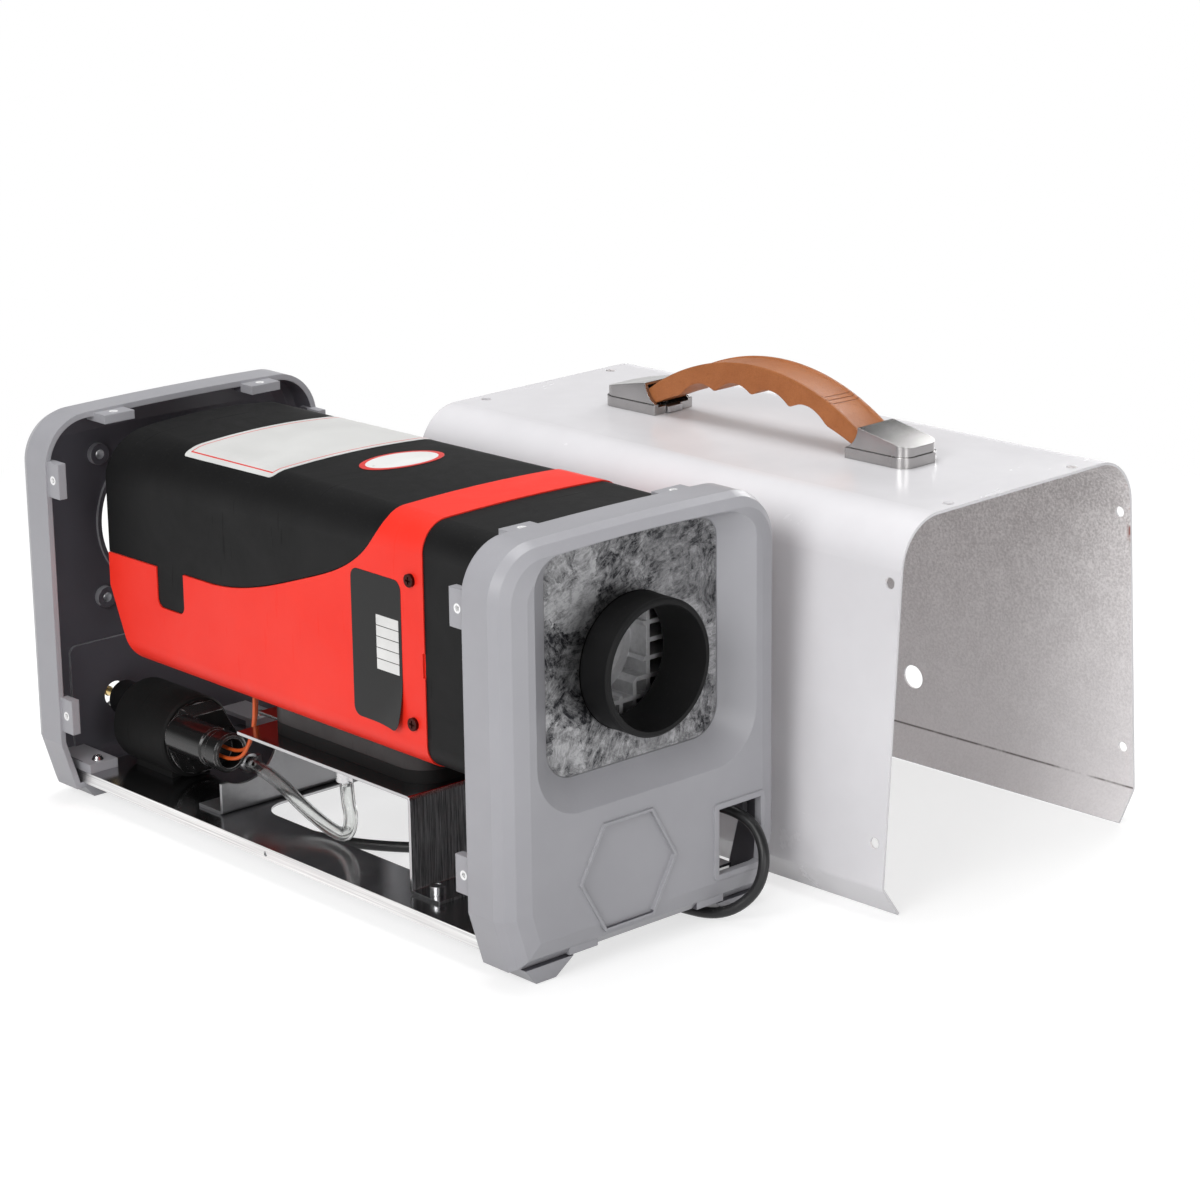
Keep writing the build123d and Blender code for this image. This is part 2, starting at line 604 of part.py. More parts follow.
def motor_armature():
    """Wound core on the shaft, as a slotted cylinder."""
    core = Circle(12.0) - Circle(SHAFT_RADIUS)
    for step in range(8):
        core -= Rot(0, 0, step * 45.0) * rect(8.0, 13.0, -1.2, 1.2)
    return slab_y(Pos(0, AXIS_Z) * core, 46.0, 70.0)


def motor_can():
    """Motor can with seats for its two bearings."""
    y0, y1 = MOTOR_Y
    can = rod_y(0, AXIS_Z, MOTOR_RADIUS, y0, y1) - rod_y(0, AXIS_Z, MOTOR_RADIUS - 1.6, y0 + 5, y1 - 5)
    return can - rod_y(0, AXIS_Z, 7.0, y0 - 1, y1 + 1)


def motor_bearings():
    """Two plain bearings in the can's ends, one group."""
    bore = SHAFT_RADIUS + SHAFT_CLEARANCE
    rings = []
    for y0, y1 in ((MOTOR_Y[0], MOTOR_Y[0] + 5), (MOTOR_Y[1] - 5, MOTOR_Y[1])):
        rings.append(turned_y(0, AXIS_Z, [(bore, y0), (7.0, y0), (7.0, y1), (bore, y1)]))
    return rings


def motor_magnets():
    """Two curved magnets inside the can, one group."""
    ring = Circle(MOTOR_RADIUS - 1.6) - Circle(13.5)
    ring -= Rectangle(60, 9)
    return slab_y(Pos(0, AXIS_Z) * ring, 44.0, 72.0)


def warm_air_impeller():
    """Axial fan: a hub and twisted blades, each a loft from a steep root to a flat tip."""
    y0, y1 = FAN_Y
    mid = (y0 + y1) / 2
    hub = rod_y(0, AXIS_Z, FAN_HUB, y0, y1)
    root = Plane(origin=(FAN_HUB - 3, mid, AXIS_Z), x_dir=(0, 1, 0), z_dir=(1, 0, 0))
    tip = Plane(origin=(FAN_RADIUS, mid, AXIS_Z), x_dir=(0, 1, 0), z_dir=(1, 0, 0))
    blade = loft([root * Rot(0, 0, 35) * RectangleRounded(14.0, 1.8, 0.8),
                  tip * Rot(0, 0, 58) * RectangleRounded(19.0, 1.4, 0.6)], ruled=True)
    wheel = hub
    for step in range(FAN_BLADES):
        wheel += blade.rotate(Axis((0, 0, AXIS_Z), (0, 1, 0)), step * 360 / FAN_BLADES)
    wheel -= rod_y(0, AXIS_Z, SHAFT_RADIUS, y0 - 1, y1 + 1)
    return wheel - rod_y(0, AXIS_Z, FAN_HUB - 2.5, y0 - 1, y0 + 9) + (
        rod_y(0, AXIS_Z, 5.0, y0, y0 + 9.5) - rod_y(0, AXIS_Z, SHAFT_RADIUS, y0 - 1, y1 + 1))


def control_unit():
    """Control unit in a flat case that straddles the motor."""
    case = slab_z(rect(-38, 38, 42, 76, 4.0), 154, 170) + block(-12, 12, 44, 74, AXIS_Z + 14, 155)
    case += block(-30, -14, 38.5, 43, 157, 167) + block(4, 28, 38.5, 43, 157, 167)
    return case - rod_y(0, AXIS_Z, MOTOR_RADIUS, 40, 80)


# ---------------------------------------------------------------- chassis
def base_gasket():
    """Black gasket between the exchanger's foot and the deck."""
    sheet = rect(-PAD_HALF, PAD_HALF, *PAD_Y, 14.0)
    sheet -= Pos(PORT_X, EXHAUST_Y) * Circle(EXHAUST_RADIUS + 0.6)
    sheet -= Pos(PORT_X, AIR_Y) * Circle(AIR_RADIUS + 0.6)
    sheet -= Pos(*FUEL_STUB) * Circle(3.0)
    for x in (-STUD_X, STUD_X):
        for y in STUD_Y:
            sheet -= Pos(x, y) * Circle(3.2)
    return slab_z(sheet, DECK_TOP, DECK_TOP + GASKET)


def heater_deck():
    """Folded sheet: front foot flange, front leg and the deck that carries the heater."""
    under = DECK_SHEET / 2
    points = [(FRONT_LEG_Y - FLANGE, BASE_TOP + under), (FRONT_LEG_Y + under, BASE_TOP + under),
              (FRONT_LEG_Y + under, DECK_TOP - under), (REAR_LEG_Y + 1.0, DECK_TOP - under)]
    deck = slab_x(sheet_path(points, 1.6, DECK_SHEET), -DECK_HALF, DECK_HALF)
    holes = Pos(PORT_X, EXHAUST_Y) * Circle(EXHAUST_RADIUS + 2) + Pos(PORT_X, AIR_Y) * Circle(AIR_RADIUS + 1.5)
    holes += Pos(*FUEL_STUB) * Circle(5.0)
    for x in (-STUD_X, STUD_X):
        for y in STUD_Y:
            holes += Pos(x, y) * Circle(3.3)
        holes += Pos(math.copysign(RIVET[0], x), REAR_LEG_Y - RIVET[1]) * Circle(2.1)
    holes += rect(-DECK_HALF - 1, -33.0, 38.0, REAR_LEG_Y + 2)
    deck -= slab_z(holes, DECK_TOP - 5, DECK_TOP + 1)
    for x, y in deck_bolt_spots():
        deck -= rod_z(x, y, 2.1, BASE_TOP - 1, BASE_TOP + 3)
    return deck


def deck_bolt_spots():
    """Bolts through the front leg's flange."""
    return [(-52.0, FRONT_LEG_Y - 10.0), (52.0, FRONT_LEG_Y - 10.0)]


def lug_screw_spots():
    """Screws through the panels' lugs into the base plate."""
    return [(x, end * (BASE_END - LUG_INSET)) for end, places in LUG_X.items() for x in places]


def rear_leg_spots():
    """Bolts through the rear leg's foot."""
    return [(-20.0, REAR_LEG_Y + 10.0), (50.0, REAR_LEG_Y + 10.0)]


def rear_leg():
    """Rear support of the deck, cut away round the pump and its hose."""
    half = DECK_SHEET / 2
    under = DECK_TOP - DECK_SHEET
    points = [(REAR_LEG_Y + 17.0, BASE_TOP + half), (REAR_LEG_Y - half, BASE_TOP + half),
              (REAR_LEG_Y - half, under - half), (REAR_LEG_Y - 14.0, under - half)]
    leg = slab_x(sheet_path(points, 1.6, DECK_SHEET), -DECK_HALF, DECK_HALF)
    leg -= rod_y(-44.5, 48.5, 20.0, REAR_LEG_Y - 30, REAR_LEG_Y + 1)
    leg -= block(-DECK_HALF - 1, -44.5, REAR_LEG_Y - 30, REAR_LEG_Y + 1, 30.8, DECK_TOP)
    for x in (-RIVET[0], RIVET[0]):
        leg -= rod_z(x, REAR_LEG_Y - RIVET[1], 2.1, under - 3, under + 1)
    for x, y in rear_leg_spots():
        leg -= rod_z(x, y, 2.1, BASE_TOP - 1, BASE_TOP + 3)
    return leg


def base_plate():
    """Folded base plate with a large cut-out under the heater's ports."""
    sheet = rect(-BASE_HALF, BASE_HALF, -BASE_END, BASE_END)
    sheet -= rect(-CUTOUT_HALF, CUTOUT_HALF, *CUTOUT_Y, CUTOUT_RADIUS)
    for x, y in lug_screw_spots():
        sheet -= Pos(x, y) * Circle(1.7)
    for x, y in deck_bolt_spots() + rear_leg_spots():
        sheet -= Pos(x, y) * Circle(2.1)
    plate = slab_z(sheet, BASE_TOP - BASE_SHEET, BASE_TOP)
    for side in (-1, 1):
        x0, x1 = sorted((side * BASE_HALF, side * (BASE_HALF - BASE_SHEET)))
        flange = block(x0, x1, -BASE_END, BASE_END, BASE_TOP - BASE_FLANGE, BASE_TOP)
        plate += flange - slab_x(Pos(5.0, BASE_TOP - 3.2) * Circle(1.2), -BASE_HALF - 1, BASE_HALF + 1)
    return plate


def socket_screw(x, y, seat, head, depth):
    """Cap screw standing on a seat, with a hexagon socket."""
    screw = rod_z(x, y, 3.5, seat, seat + head) + rod_z(x, y, 2.0, seat - depth, seat)
    return screw - slab_z(Pos(x, y) * RegularPolygon(1.9, 6), seat + head - 2.2, seat + head + 1)


def deck_bolts():
    """Cap screws through the feet of the deck and its rear leg, one group."""
    seat = BASE_TOP + DECK_SHEET
    return [socket_screw(x, y, seat, 4.0, DECK_SHEET + BASE_SHEET + 3.0)
            for x, y in deck_bolt_spots() + rear_leg_spots()]


def deck_rivets():
    """Rivets that join the deck to the rear leg's top flange, one group."""
    under = DECK_TOP - 2 * DECK_SHEET
    rivets = []
    for x in (-RIVET[0], RIVET[0]):
        rivets.append(turned_z(x, REAR_LEG_Y - RIVET[1], [(0, under - 1.4), (2.6, under - 1.0), (3.4, under), (2.0, under),
                                      (2.0, DECK_TOP), (3.4, DECK_TOP), (2.4, DECK_TOP + 1.3), (0, DECK_TOP + 1.5)]))
    return rivets


def panel_screws():
    """Pan-head screws that hold the base plate to the lugs of both panels, one group."""
    seat = BASE_TOP + 4.5
    screws = []
    for x, y in lug_screw_spots():
        screw = turned_z(x, y, [(0, seat + 2.0), (1.9, seat + 1.8), (3.0, seat), (1.55, seat),
                                (1.55, BASE_TOP - 4), (0, BASE_TOP - 4)])
        cross = Pos(x, y) * (Rectangle(3.4, 0.8) + Rectangle(0.8, 3.4))
        screws.append(screw - slab_z(cross, seat + 0.9, seat + 3))
    return screws


def heater_studs():
    """Studs of the exchanger's foot, which pass through gasket and deck, one group."""
    return [rod_z(x, y, 3.0, DECK_TOP - DECK_SHEET - 7.0, DECK_TOP + GASKET)
            for x in (-STUD_X, STUD_X) for y in STUD_Y]


def stud_nuts():
    """Flange nuts under the deck, one group."""
    seat = DECK_TOP - DECK_SHEET
    nuts = []
    for x in (-STUD_X, STUD_X):
        for y in STUD_Y:
            nut = slab_z(Pos(x, y) * RegularPolygon(5.8, 6), seat - 5.0, seat - 1.0)
            nut += rod_z(x, y, 6.2, seat - 1.2, seat)
            nuts.append(nut - rod_z(x, y, 3.05, seat - 6, seat + 1))
    return nuts


def port_stub(y, radius):
    """Thin pipe end that leaves the exchanger's foot downwards, with a beaded mouth."""
    top = DECK_TOP + GASKET
    neck = radius - 0.5
    return turned_z(PORT_X, y, [(radius - 1.5, top), (neck, top), (neck, PORT_SHOULDER),
                                (radius, PORT_SHOULDER), (radius, PORT_END + 1.0),
                                (radius - 0.6, PORT_END), (radius - 1.5, PORT_END)])


def fuel_stub():
    """Fuel pipe of the burner, which leaves the foot downwards."""
    return turned_z(*FUEL_STUB, [(0, DECK_TOP + GASKET), (2.6, DECK_TOP + GASKET), (2.6, 57.0), (BARB, 56.0),
                                 (BARB, 44.0), (1.0, 44.0), (1.0, 62.0), (0, 62.0)])


# ---------------------------------------------------------------- fuel pump
def pump_sleeve():
    """Rubber sleeve round the pump, with the block that seats it on the base plate."""
    x, z = PUMP
    y0, y1 = SLEEVE_Y
    ring = turned_y(x, z, [(PUMP_RADIUS, y0), (SLEEVE_RADIUS - 1.0, y0), (SLEEVE_RADIUS, y0 + 1.0),
                           (SLEEVE_RADIUS, y1 - 1.0), (SLEEVE_RADIUS - 1.0, y1), (PUMP_RADIUS, y1)])
    pad = block(x - 11, x + 11, y0 + 6, y1 - 6, BASE_TOP, z - 12) - rod_y(x, z, PUMP_RADIUS, y0, y1)
    return ring + pad


def pump_body():
    """Steel pump body with its smaller rear end."""
    body = rod_y(*PUMP, PUMP_RADIUS, HEAD_Y[1], SLEEVE_Y[1] + 1.5)
    body += rod_y(*PUMP, PUMP_RADIUS + 1.6, HEAD_Y[1], SLEEVE_Y[0])
    return body + rod_y(*INLET_PIPE, 8.7, SLEEVE_Y[1] + 1.5, 165.0)


def pump_head():
    """Black overmould: six-sided head with the connector barrel and its open mouth."""
    x, z = PUMP
    y0, y1 = HEAD_Y
    head = loft([facing_front(y1) * Pos(x - 2, z + 1.5) * RegularPolygon(18.2, 6),
                 facing_front(y0) * Pos(x - 3, z + 2.0) * RegularPolygon(16.4, 6)], ruled=True)
    barrel = turned_y(*BARREL, [
        (0, y0 + 6), (BARREL_RADIUS, y0 + 6), (BARREL_RADIUS, 70), (BARREL_RADIUS - 0.8, 69),
        (BARREL_RADIUS - 0.8, 66), (BARREL_RADIUS, 65), (BARREL_RADIUS, BARREL_FRONT + 1),
        (BARREL_RADIUS - 1, BARREL_FRONT), (BARREL_RADIUS - 2.4, BARREL_FRONT),
        (BARREL_RADIUS - 2.4, BARREL_FRONT + 9), (0, BARREL_FRONT + 9)])
    return head + barrel


def pump_outlet():
    """Steel outlet pipe of the pump with its barb."""
    return turned_y(*OUTLET_PIPE, [(0, HEAD_Y[0]), (3.7, HEAD_Y[0]), (3.7, 68), (BARB, 67.6), (BARB, 56),
                                   (1.0, 56), (1.0, 80), (0, 80)])


def pump_inlet():
    """Brass inlet: a hexagon on the pump's rear end and a barb that passes out through the panel."""
    hexagon = slab_y(Pos(*INLET_PIPE) * RegularPolygon(4.8, 6), 165.0, 170.5)
    barb = turned_y(*INLET_PIPE, [(1.2, 170.5), (2.1, 170.5), (2.1, 178.0), (2.5, 178.0), (2.5, 190.0),
                                  (1.9, 191.5), (1.2, 191.5)])
    return hexagon - rod_y(*INLET_PIPE, 1.2, 164, 172) + barb


def wire_ends():
    """Where each pump wire leaves the connector and where it enters the grommet."""
    x, z = BARREL
    return [((x - 1.9, z - 2.0), (GROMMET[0] - 1.5, GROMMET[1] - 1.2)),
            ((x + 1.9, z + 1.0), (GROMMET[0] + 1.5, GROMMET[1] + 1.2))]


def pump_wires():
    """Two wires from the connector's mouth up into the casing, one group."""
    wires = []
    for (x, z), (gx, gy) in wire_ends():
        start = BARREL_FRONT + 8.9
        points = [(x, start, z), (x - 0.4, BARREL_FRONT - 9, z - 1.0), (gx - 3, gy - 2, z + 14), (gx, gy, BODY_LOW - 4),
                  (gx, gy, BODY_LOW + 5)]
        wires.append(tube(points, WIRE_RADIUS))
    return wires


def wire_grommet():
    """Rubber grommet in the casing's underside for the pump's wires."""
    low, high = BODY_LOW, BODY_LOW + SHELL_WALL
    plug = turned_z(*GROMMET, [(0, low - 1.5), (5.2, low - 1.5), (5.2, low), (3.9, low), (3.9, high),
                                  (5.0, high + 0.2), (4.4, high + 1.8), (0, high + 1.8)])
    for _, (gx, gy) in wire_ends():
        plug -= rod_z(gx, gy, WIRE_RADIUS + 0.05, low - 3, high + 4)
    return plug


def fuel_hose():
    """Clear hose from the pump down into the cut-out and up to the burner's fuel pipe."""
    points = [(OUTLET_PIPE[0], 67.4, OUTLET_PIPE[1]), (OUTLET_PIPE[0], 45.0, OUTLET_PIPE[1]),
              (-38.5, 12.0, 22.6), (-41.5, -19.0, 18.4), (-41.2, -24.0, 29.5),
              (FUEL_STUB[0], FUEL_STUB[1], 38.5), (FUEL_STUB[0], FUEL_STUB[1], 55.5)]
    return tube(points, HOSE_RADIUS, HOSE_BORE)


def hose_clips():
    """Spring clips on both ends of the hose, one group."""
    x, z = OUTLET_PIPE
    pump_clip = turned_y(x, z, [(HOSE_RADIUS + 0.05, 58.5), (4.7, 58.5), (4.7, 65.5), (HOSE_RADIUS + 0.05, 65.5)])
    pump_clip += block(x + 4.2, x + 7.4, 60.0, 64.0, z - 2.2, z + 2.2)
    x, y = FUEL_STUB
    stub_clip = turned_z(x, y, [(HOSE_RADIUS + 0.05, 46.5), (4.7, 46.5), (4.7, 53.0), (HOSE_RADIUS + 0.05, 53.0)])
    stub_clip += block(x - 2.2, x + 2.2, y - 7.4, y - 4.2, 47.8, 51.8)
    return [pump_clip, stub_clip]


# ---------------------------------------------------------------- cover and handle
def to_cover(shape):
    """Move a shape from the cover's own frame to where the cover stands."""
    return Pos(*COVER_PLACE) * Rot(0, 0, COVER_YAW) * shape


def outer_cover():
    """Folded sheet cover: top, two sprung sides and a hem turned in along each side."""
    half, shoulder = COVER_SHOULDER
    top = COVER_TOP - COVER_SHEET / 2
    right = [(COVER_HEM[0], COVER_HEM[1]), (COVER_BEND[0], COVER_BEND[1]), (half, shoulder)]
    left = [(-x, z) for x, z in right]
    slope = (COVER_BEND[0] - half) / (shoulder - COVER_BEND[1])
    corner = half - slope * (top - shoulder)
    points = left[:2] + [(-corner, top), (corner, top)] + right[1::-1]
    middle = FilletPolyline(*points, radius=[3.0, COVER_CORNER, COVER_CORNER, 3.0])
    sheet = slab_y(trace(middle, COVER_SHEET), *COVER_Y)
    for y in COVER_HOLE_Y:
        for x in (-TAB_TOP_X, TAB_TOP_X):
            sheet -= rod_z(x, y, COVER_HOLE, COVER_TOP - 4, COVER_TOP + 2)
        for z in COVER_SIDE_Z:
            sheet -= slab_x(Pos(y, z) * Circle(COVER_HOLE), -100, 100)
    y, z, radius = CABLE_HOLE
    sheet -= slab_x(Pos(y, z) * Circle(radius), 60, 100)
    for end in (-1, 1):
        sheet -= rod_z(0, HANDLE_MID + end * CAP_SCREW_Y, 2.1, COVER_TOP - 4, COVER_TOP + 2)
    return to_cover(sheet)


def cap_outline(inset):
    """Plan of an end cap, which points along +Y: square inner end, rounded outer corners."""
    y0, y1 = CAP_OUTER - CAP_LENGTH, CAP_OUTER - inset
    half = CAP_HALF - inset
    face = Polygon((-half, y0), (half, y0), (half, y1), (-half, y1), align=None)
    return fillet(face.vertices().sort_by(Axis.Y)[-2:], 7.0 - inset)


def at_handle(shape, end):
    """Place a piece drawn for the +Y end at either end of the handle, on the cover."""
    piece = Pos(0, HANDLE_MID, COVER_TOP) * (shape if end > 0 else Rot(0, 0, 180) * shape)
    return to_cover(piece)


def handle_base(end):
    """Stepped base of an end cap, with the channel in which the strap's tongue slides."""
    base = slab_z(cap_outline(0.0), 0, CAP_BASE)
    y0 = CAP_OUTER - CAP_LENGTH
    base -= block(-CHANNEL_HALF, CHANNEL_HALF, y0 - 1, CAP_SCREW_Y - 4, -1, CAP_BASE + 1)
    base -= block(-GRIP_HALF - 0.3, GRIP_HALF + 0.3, y0 - 1, y0 + 14, TONGUE_THICK + 0.8, CAP_BASE + 1)
    return at_handle(base - rod_z(0, CAP_SCREW_Y, 1.9, -1, CAP_BASE + 1), end)


def cap_side():
    """Side view of a cap: low at its outer end, a curved crest and a scooped inner mouth."""
    y0, y1 = CAP_OUTER - CAP_LENGTH, CAP_OUTER
    crest = Spline((y1, CAP_BASE + 4.0), (y1 - 14, CAP_BASE + 7.2), (y0 + 7, CAP_HEIGHT))
    scoop = ThreePointArc((y0 + 7, CAP_HEIGHT), (y0 + 5.0, CAP_BASE + 4.0), (y0, CAP_BASE))
    floor = Polyline((y0, CAP_BASE), (y1, CAP_BASE), (y1, CAP_BASE + 4.0))
    return make_face([crest, scoop, floor])


def handle_cap(end):
    """Metal cap over the base, hollow where the strap enters."""
    y0 = CAP_OUTER - CAP_LENGTH
    cap = slab_z(cap_outline(CAP_STEP), CAP_BASE, CAP_HEIGHT + 1) & slab_x(cap_side(), -CAP_HALF, CAP_HALF)
    pocket = Polygon((y0 - 2, CAP_BASE - 1), (y0 + 16, CAP_BASE - 1), (y0 + 16, CAP_BASE + 2.5),
                     (y0 + 7.5, CAP_HEIGHT - 1.6), (y0 - 2, CAP_HEIGHT + 5), align=None)
    return at_handle(cap - slab_x(pocket, -GRIP_HALF - 0.3, GRIP_HALF + 0.3), end)


def handle_tongue(end):
    """Steel tongue of the strap, which slides along the channel under the cap."""
    y0 = CAP_OUTER - CAP_LENGTH
    tongue = block(-TONGUE_HALF, TONGUE_HALF, y0 - 1.5, y0 + 14.0, TONGUE_LIFT, TONGUE_LIFT + TONGUE_THICK)
    return at_handle(tongue, end)


def handle_grip():
    """Moulded strap: an arch with finger scallops below and cross grooves near both ends."""
    end_y, end_z = GRIP_END
    upper = ThreePointArc((-end_y - 3, end_z + 6.0), (0, GRIP_APEX), (end_y + 3, end_z + 6.0))
    lower = ThreePointArc((-end_y + 1.5, end_z - 2.0), (0, GRIP_APEX - GRIP_THICK - 2.0), (end_y - 1.5, end_z - 2.0))
    ends = [Line((side * (end_y + 3), end_z + 6.0), (side * (end_y - 1.5), end_z - 2.0)) for side in (-1, 1)]
    side = make_face([upper, lower] + ends)
    for step in range(-2, 2):
        at = (step + 0.5) * FINGER_PITCH
        under = GRIP_APEX - GRIP_THICK - 2.0 - at * at / 190.0
        side -= Pos(at, under - FINGER_RADIUS + FINGER_DEPTH) * Circle(FINGER_RADIUS)
    grip = slab_x(side, -GRIP_HALF, GRIP_HALF)
    long_edges = grip.faces().filter_by(lambda f: abs(f.normal_at().X) > 0.9).edges()
    grip = chamfer(long_edges, 1.6)
    return to_cover(Pos(0, HANDLE_MID, COVER_TOP) * grip)


def cap_screws():
    """Screws from inside the cover into the caps, one group."""
    screws = []
    for end in (-1, 1):
        low = -COVER_SHEET
        screw = turned_z(0, CAP_SCREW_Y, [(0, low - 2.0), (3.0, low - 1.8), (3.6, low), (1.9, low), (1.9, CAP_BASE - 1),
                                (0, CAP_BASE - 1)])
        screws.append(at_handle(screw, end))
    return screws


# ---------------------------------------------------------------- power cable
CABLE_Z = CABLE_RADIUS + FLOOR_GAP
CABLE_LEFT = COIL_CENTRE[0] - COIL_OUTER
CABLE_ROUTE = [
    (CABLE_EXIT[0], CABLE_EXIT[1], 79.0), (43.0, -137.0, 61.5), (51.0, -151.0, 48.5), (60.0, -175.5, 45.5),
    (57.5, -188.6, 32.5), (53.0, -188.0, 14.5), (43.0, -175.5, CABLE_Z), (37.0, -150.0, CABLE_Z),
    (36.0, -106.0, CABLE_Z), (35.0, -60.0, CABLE_Z), (24.0, -32.0, CABLE_Z), (1.5, -17.9, CABLE_Z),
    (-20.0, 14.9, CABLE_Z), (-28.0, 54.0, CABLE_Z), (-25.0, 102.0, CABLE_Z), (-11.0, 146.0, CABLE_Z),
    (CABLE_LEFT, 184.0, CABLE_Z), (CABLE_LEFT, COIL_CENTRE[1] - 2 * CABLE_RADIUS, CABLE_Z)]


def power_cable():
    """Free stretch of the power cable: out of the window, back under the panel and along the floor."""
    return tube(CABLE_ROUTE, CABLE_RADIUS)


def cable_gland():
    """Rubber bushing of the cable in the collar's underside."""
    low, high = BODY_LOW, BODY_LOW + SHELL_WALL + 0.7
    bore = CABLE_RADIUS + CABLE_FIT
    rise = BLACK_INSET
    return turned_z(*CABLE_EXIT, [(bore, low - 3), (3.8, low - 3), (5.6, low + rise - 1.6), (5.6, low + rise),
                                  (GLAND_NECK, low + rise), (GLAND_NECK, high + 0.2), (bore, high + 0.2)])


def coil_path():
    """Flat spiral in on the floor, half a turn that climbs, and a spiral out on top of it."""
    cx, cy = COIL_CENTRE
    step = COIL_PITCH / 2
    x, z, side = CABLE_LEFT, CABLE_Z, -1
    edges = [Line((x, cy - 2 * CABLE_RADIUS, z), (x, cy, z))]
    radius = COIL_OUTER
    for _ in range(COIL_HALF_TURNS[0]):
        middle = x - side * radius
        edges.append(ThreePointArc((x, cy, z), (middle, cy - side * radius, z), (middle - side * radius, cy, z)))
        x, side, radius = middle - side * radius, -side, radius - step
    rise = math.sqrt(radius ** 2 + (COIL_PITCH / 2) ** 2)
    crest = (x - side * radius, cy - side * rise, z + COIL_PITCH / 2)
    top = (x - 2 * side * radius, cy, z + COIL_PITCH)
    edges.append(TangentArc((x, cy, z), crest, tangent=(0, -side, 0)))
    edges.append(TangentArc(crest, top, tangent=edges[-1] % 1))
    x, z, side = top[0], top[2], -side
    for _ in range(COIL_HALF_TURNS[1]):
        radius += step
        middle = x - side * radius
        edges.append(ThreePointArc((x, cy, z), (middle, cy - side * radius, z), (middle - side * radius, cy, z)))
        x, side = middle - side * radius, -side
    edges.append(Line((x, cy, z), (x, cy + COIL_TAIL, z)))
    return Wire(edges)


def least_gap(path, diameter, spacing=1.5):
    """Least gap of a tube to itself, measured between points well apart along it."""
    count = int(path.length / spacing)
    spots = [path @ (k / count) for k in range(count + 1)]
    skip = int(3 * diameter / spacing)
    nearest = min((spots[a] - spots[b]).length for a in range(len(spots)) for b in range(a + skip, len(spots)))
    return nearest - diameter


def cable_coil():
    """The cable's spare length, coiled on the floor behind the heater."""
    path = coil_path()
    print("coil length", round(path.length, 1), "least gap", round(least_gap(path, 2 * CABLE_RADIUS), 2))
    return sweep(Plane(origin=path @ 0, z_dir=path % 0) * Circle(CABLE_RADIUS), path=path)


def cable_plug():
    """Two-way connector on the cable's end, with two pin holes and a latch rib."""
    wide, long, high = PLUG_SIZE
    cx, cy = CABLE_LEFT, COIL_CENTRE[1] + COIL_TAIL
    middle = CABLE_Z + COIL_PITCH
    low = middle - high / 2
    neck = rod_y(cx, middle, 4.6, cy, cy + 6)
    body = slab_y(Pos(cx, middle) * RectangleRounded(wide, high, 2.0), cy + 5, cy + long)
    body += block(cx - 3, cx + 3, cy + 9, cy + long - 2, low + high - 0.1, low + high + 1.6)
    for x in (cx - 4, cx + 4):
        body -= rod_y(x, middle, 2.6, cy + long - 10, cy + long + 1)
    return neck + body


def build():
    """Every node by name."""
    nodes = {
        "front_panel": front_panel(),
        "rear_panel": rear_panel(),
        "outlet_plate": outlet_plate(),
        "outlet_nozzle": outlet_nozzle(),
        "front_collar": front_collar(),
        "upper_shell": upper_shell(),
        "lower_shell": lower_shell(),
        "shell_screws": shell_screws(),
        "intake_grille": intake_grille(),
        "heat_exchanger": heat_exchanger(),
        "burner_tube": burner_tube(),
        "glow_plug": glow_plug(),
        "overheat_sensor": overheat_sensor(),
        "combustion_housing": combustion_housing(),
        "combustion_impeller": combustion_impeller(),
        "motor_shaft": motor_shaft(),
        "motor_armature": motor_armature(),
        "motor_can": motor_can(),
        "motor_bearings": motor_bearings(),
        "motor_magnets": motor_magnets(),
        "warm_air_impeller": warm_air_impeller(),
        "control_unit": control_unit(),
        "base_gasket": base_gasket(),
        "heater_deck": heater_deck(),
        "rear_leg": rear_leg(),
        "base_plate": base_plate(),
        "deck_bolts": deck_bolts(),
        "deck_rivets": deck_rivets(),
        "panel_screws": panel_screws(),
        "heater_studs": heater_studs(),
        "stud_nuts": stud_nuts(),
        "exhaust_stub": port_stub(EXHAUST_Y, EXHAUST_RADIUS),
        "air_stub": port_stub(AIR_Y, AIR_RADIUS),
        "fuel_stub": fuel_stub(),
        "pump_sleeve": pump_sleeve(),
        "pump_body": pump_body(),
        "pump_head": pump_head(),
        "pump_outlet": pump_outlet(),
        "pump_inlet": pump_inlet(),
        "pump_wires": pump_wires(),
        "wire_grommet": wire_grommet(),
        "fuel_hose": fuel_hose(),
        "hose_clips": hose_clips(),
        "outer_cover": outer_cover(),
        "handle_base_front": handle_base(-1),
        "handle_base_rear": handle_base(1),
        "handle_cap_front": handle_cap(-1),
        "handle_cap_rear": handle_cap(1),
        "handle_tongue_front": handle_tongue(-1),
        "handle_tongue_rear": handle_tongue(1),
        "handle_grip": handle_grip(),
        "cap_screws": cap_screws(),
        "cable_gland": cable_gland(),
        "power_cable": power_cable(),
        "cable_coil": cable_coil(),
        "cable_plug": cable_plug(),
    }
    return nodes


os.makedirs("parts", exist_ok=True)
for name, shape in build().items():
    solids = shape if isinstance(shape, list) else [shape]
    export_step(Compound(children=solids), f"parts/{name}.step")
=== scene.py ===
# %% [markdown]
# # A portable diesel air heater, opened up
# A small parking heater stands in a light case: two grey end trays, a red and black heater casing
# between them, a fuel pump and a folded chassis below. The white sheet cover with its strap handle has
# been lifted off and stands beside it.
# The rigid pieces come from the imported model and stay where they are. This lesson gives every surface
# its finish, and models the soft pieces: power cable, fuel hose, pump wires, strap grip and stickers.

# %% Load the frame
import json
import math

import bpy
from mathutils import Matrix, Vector


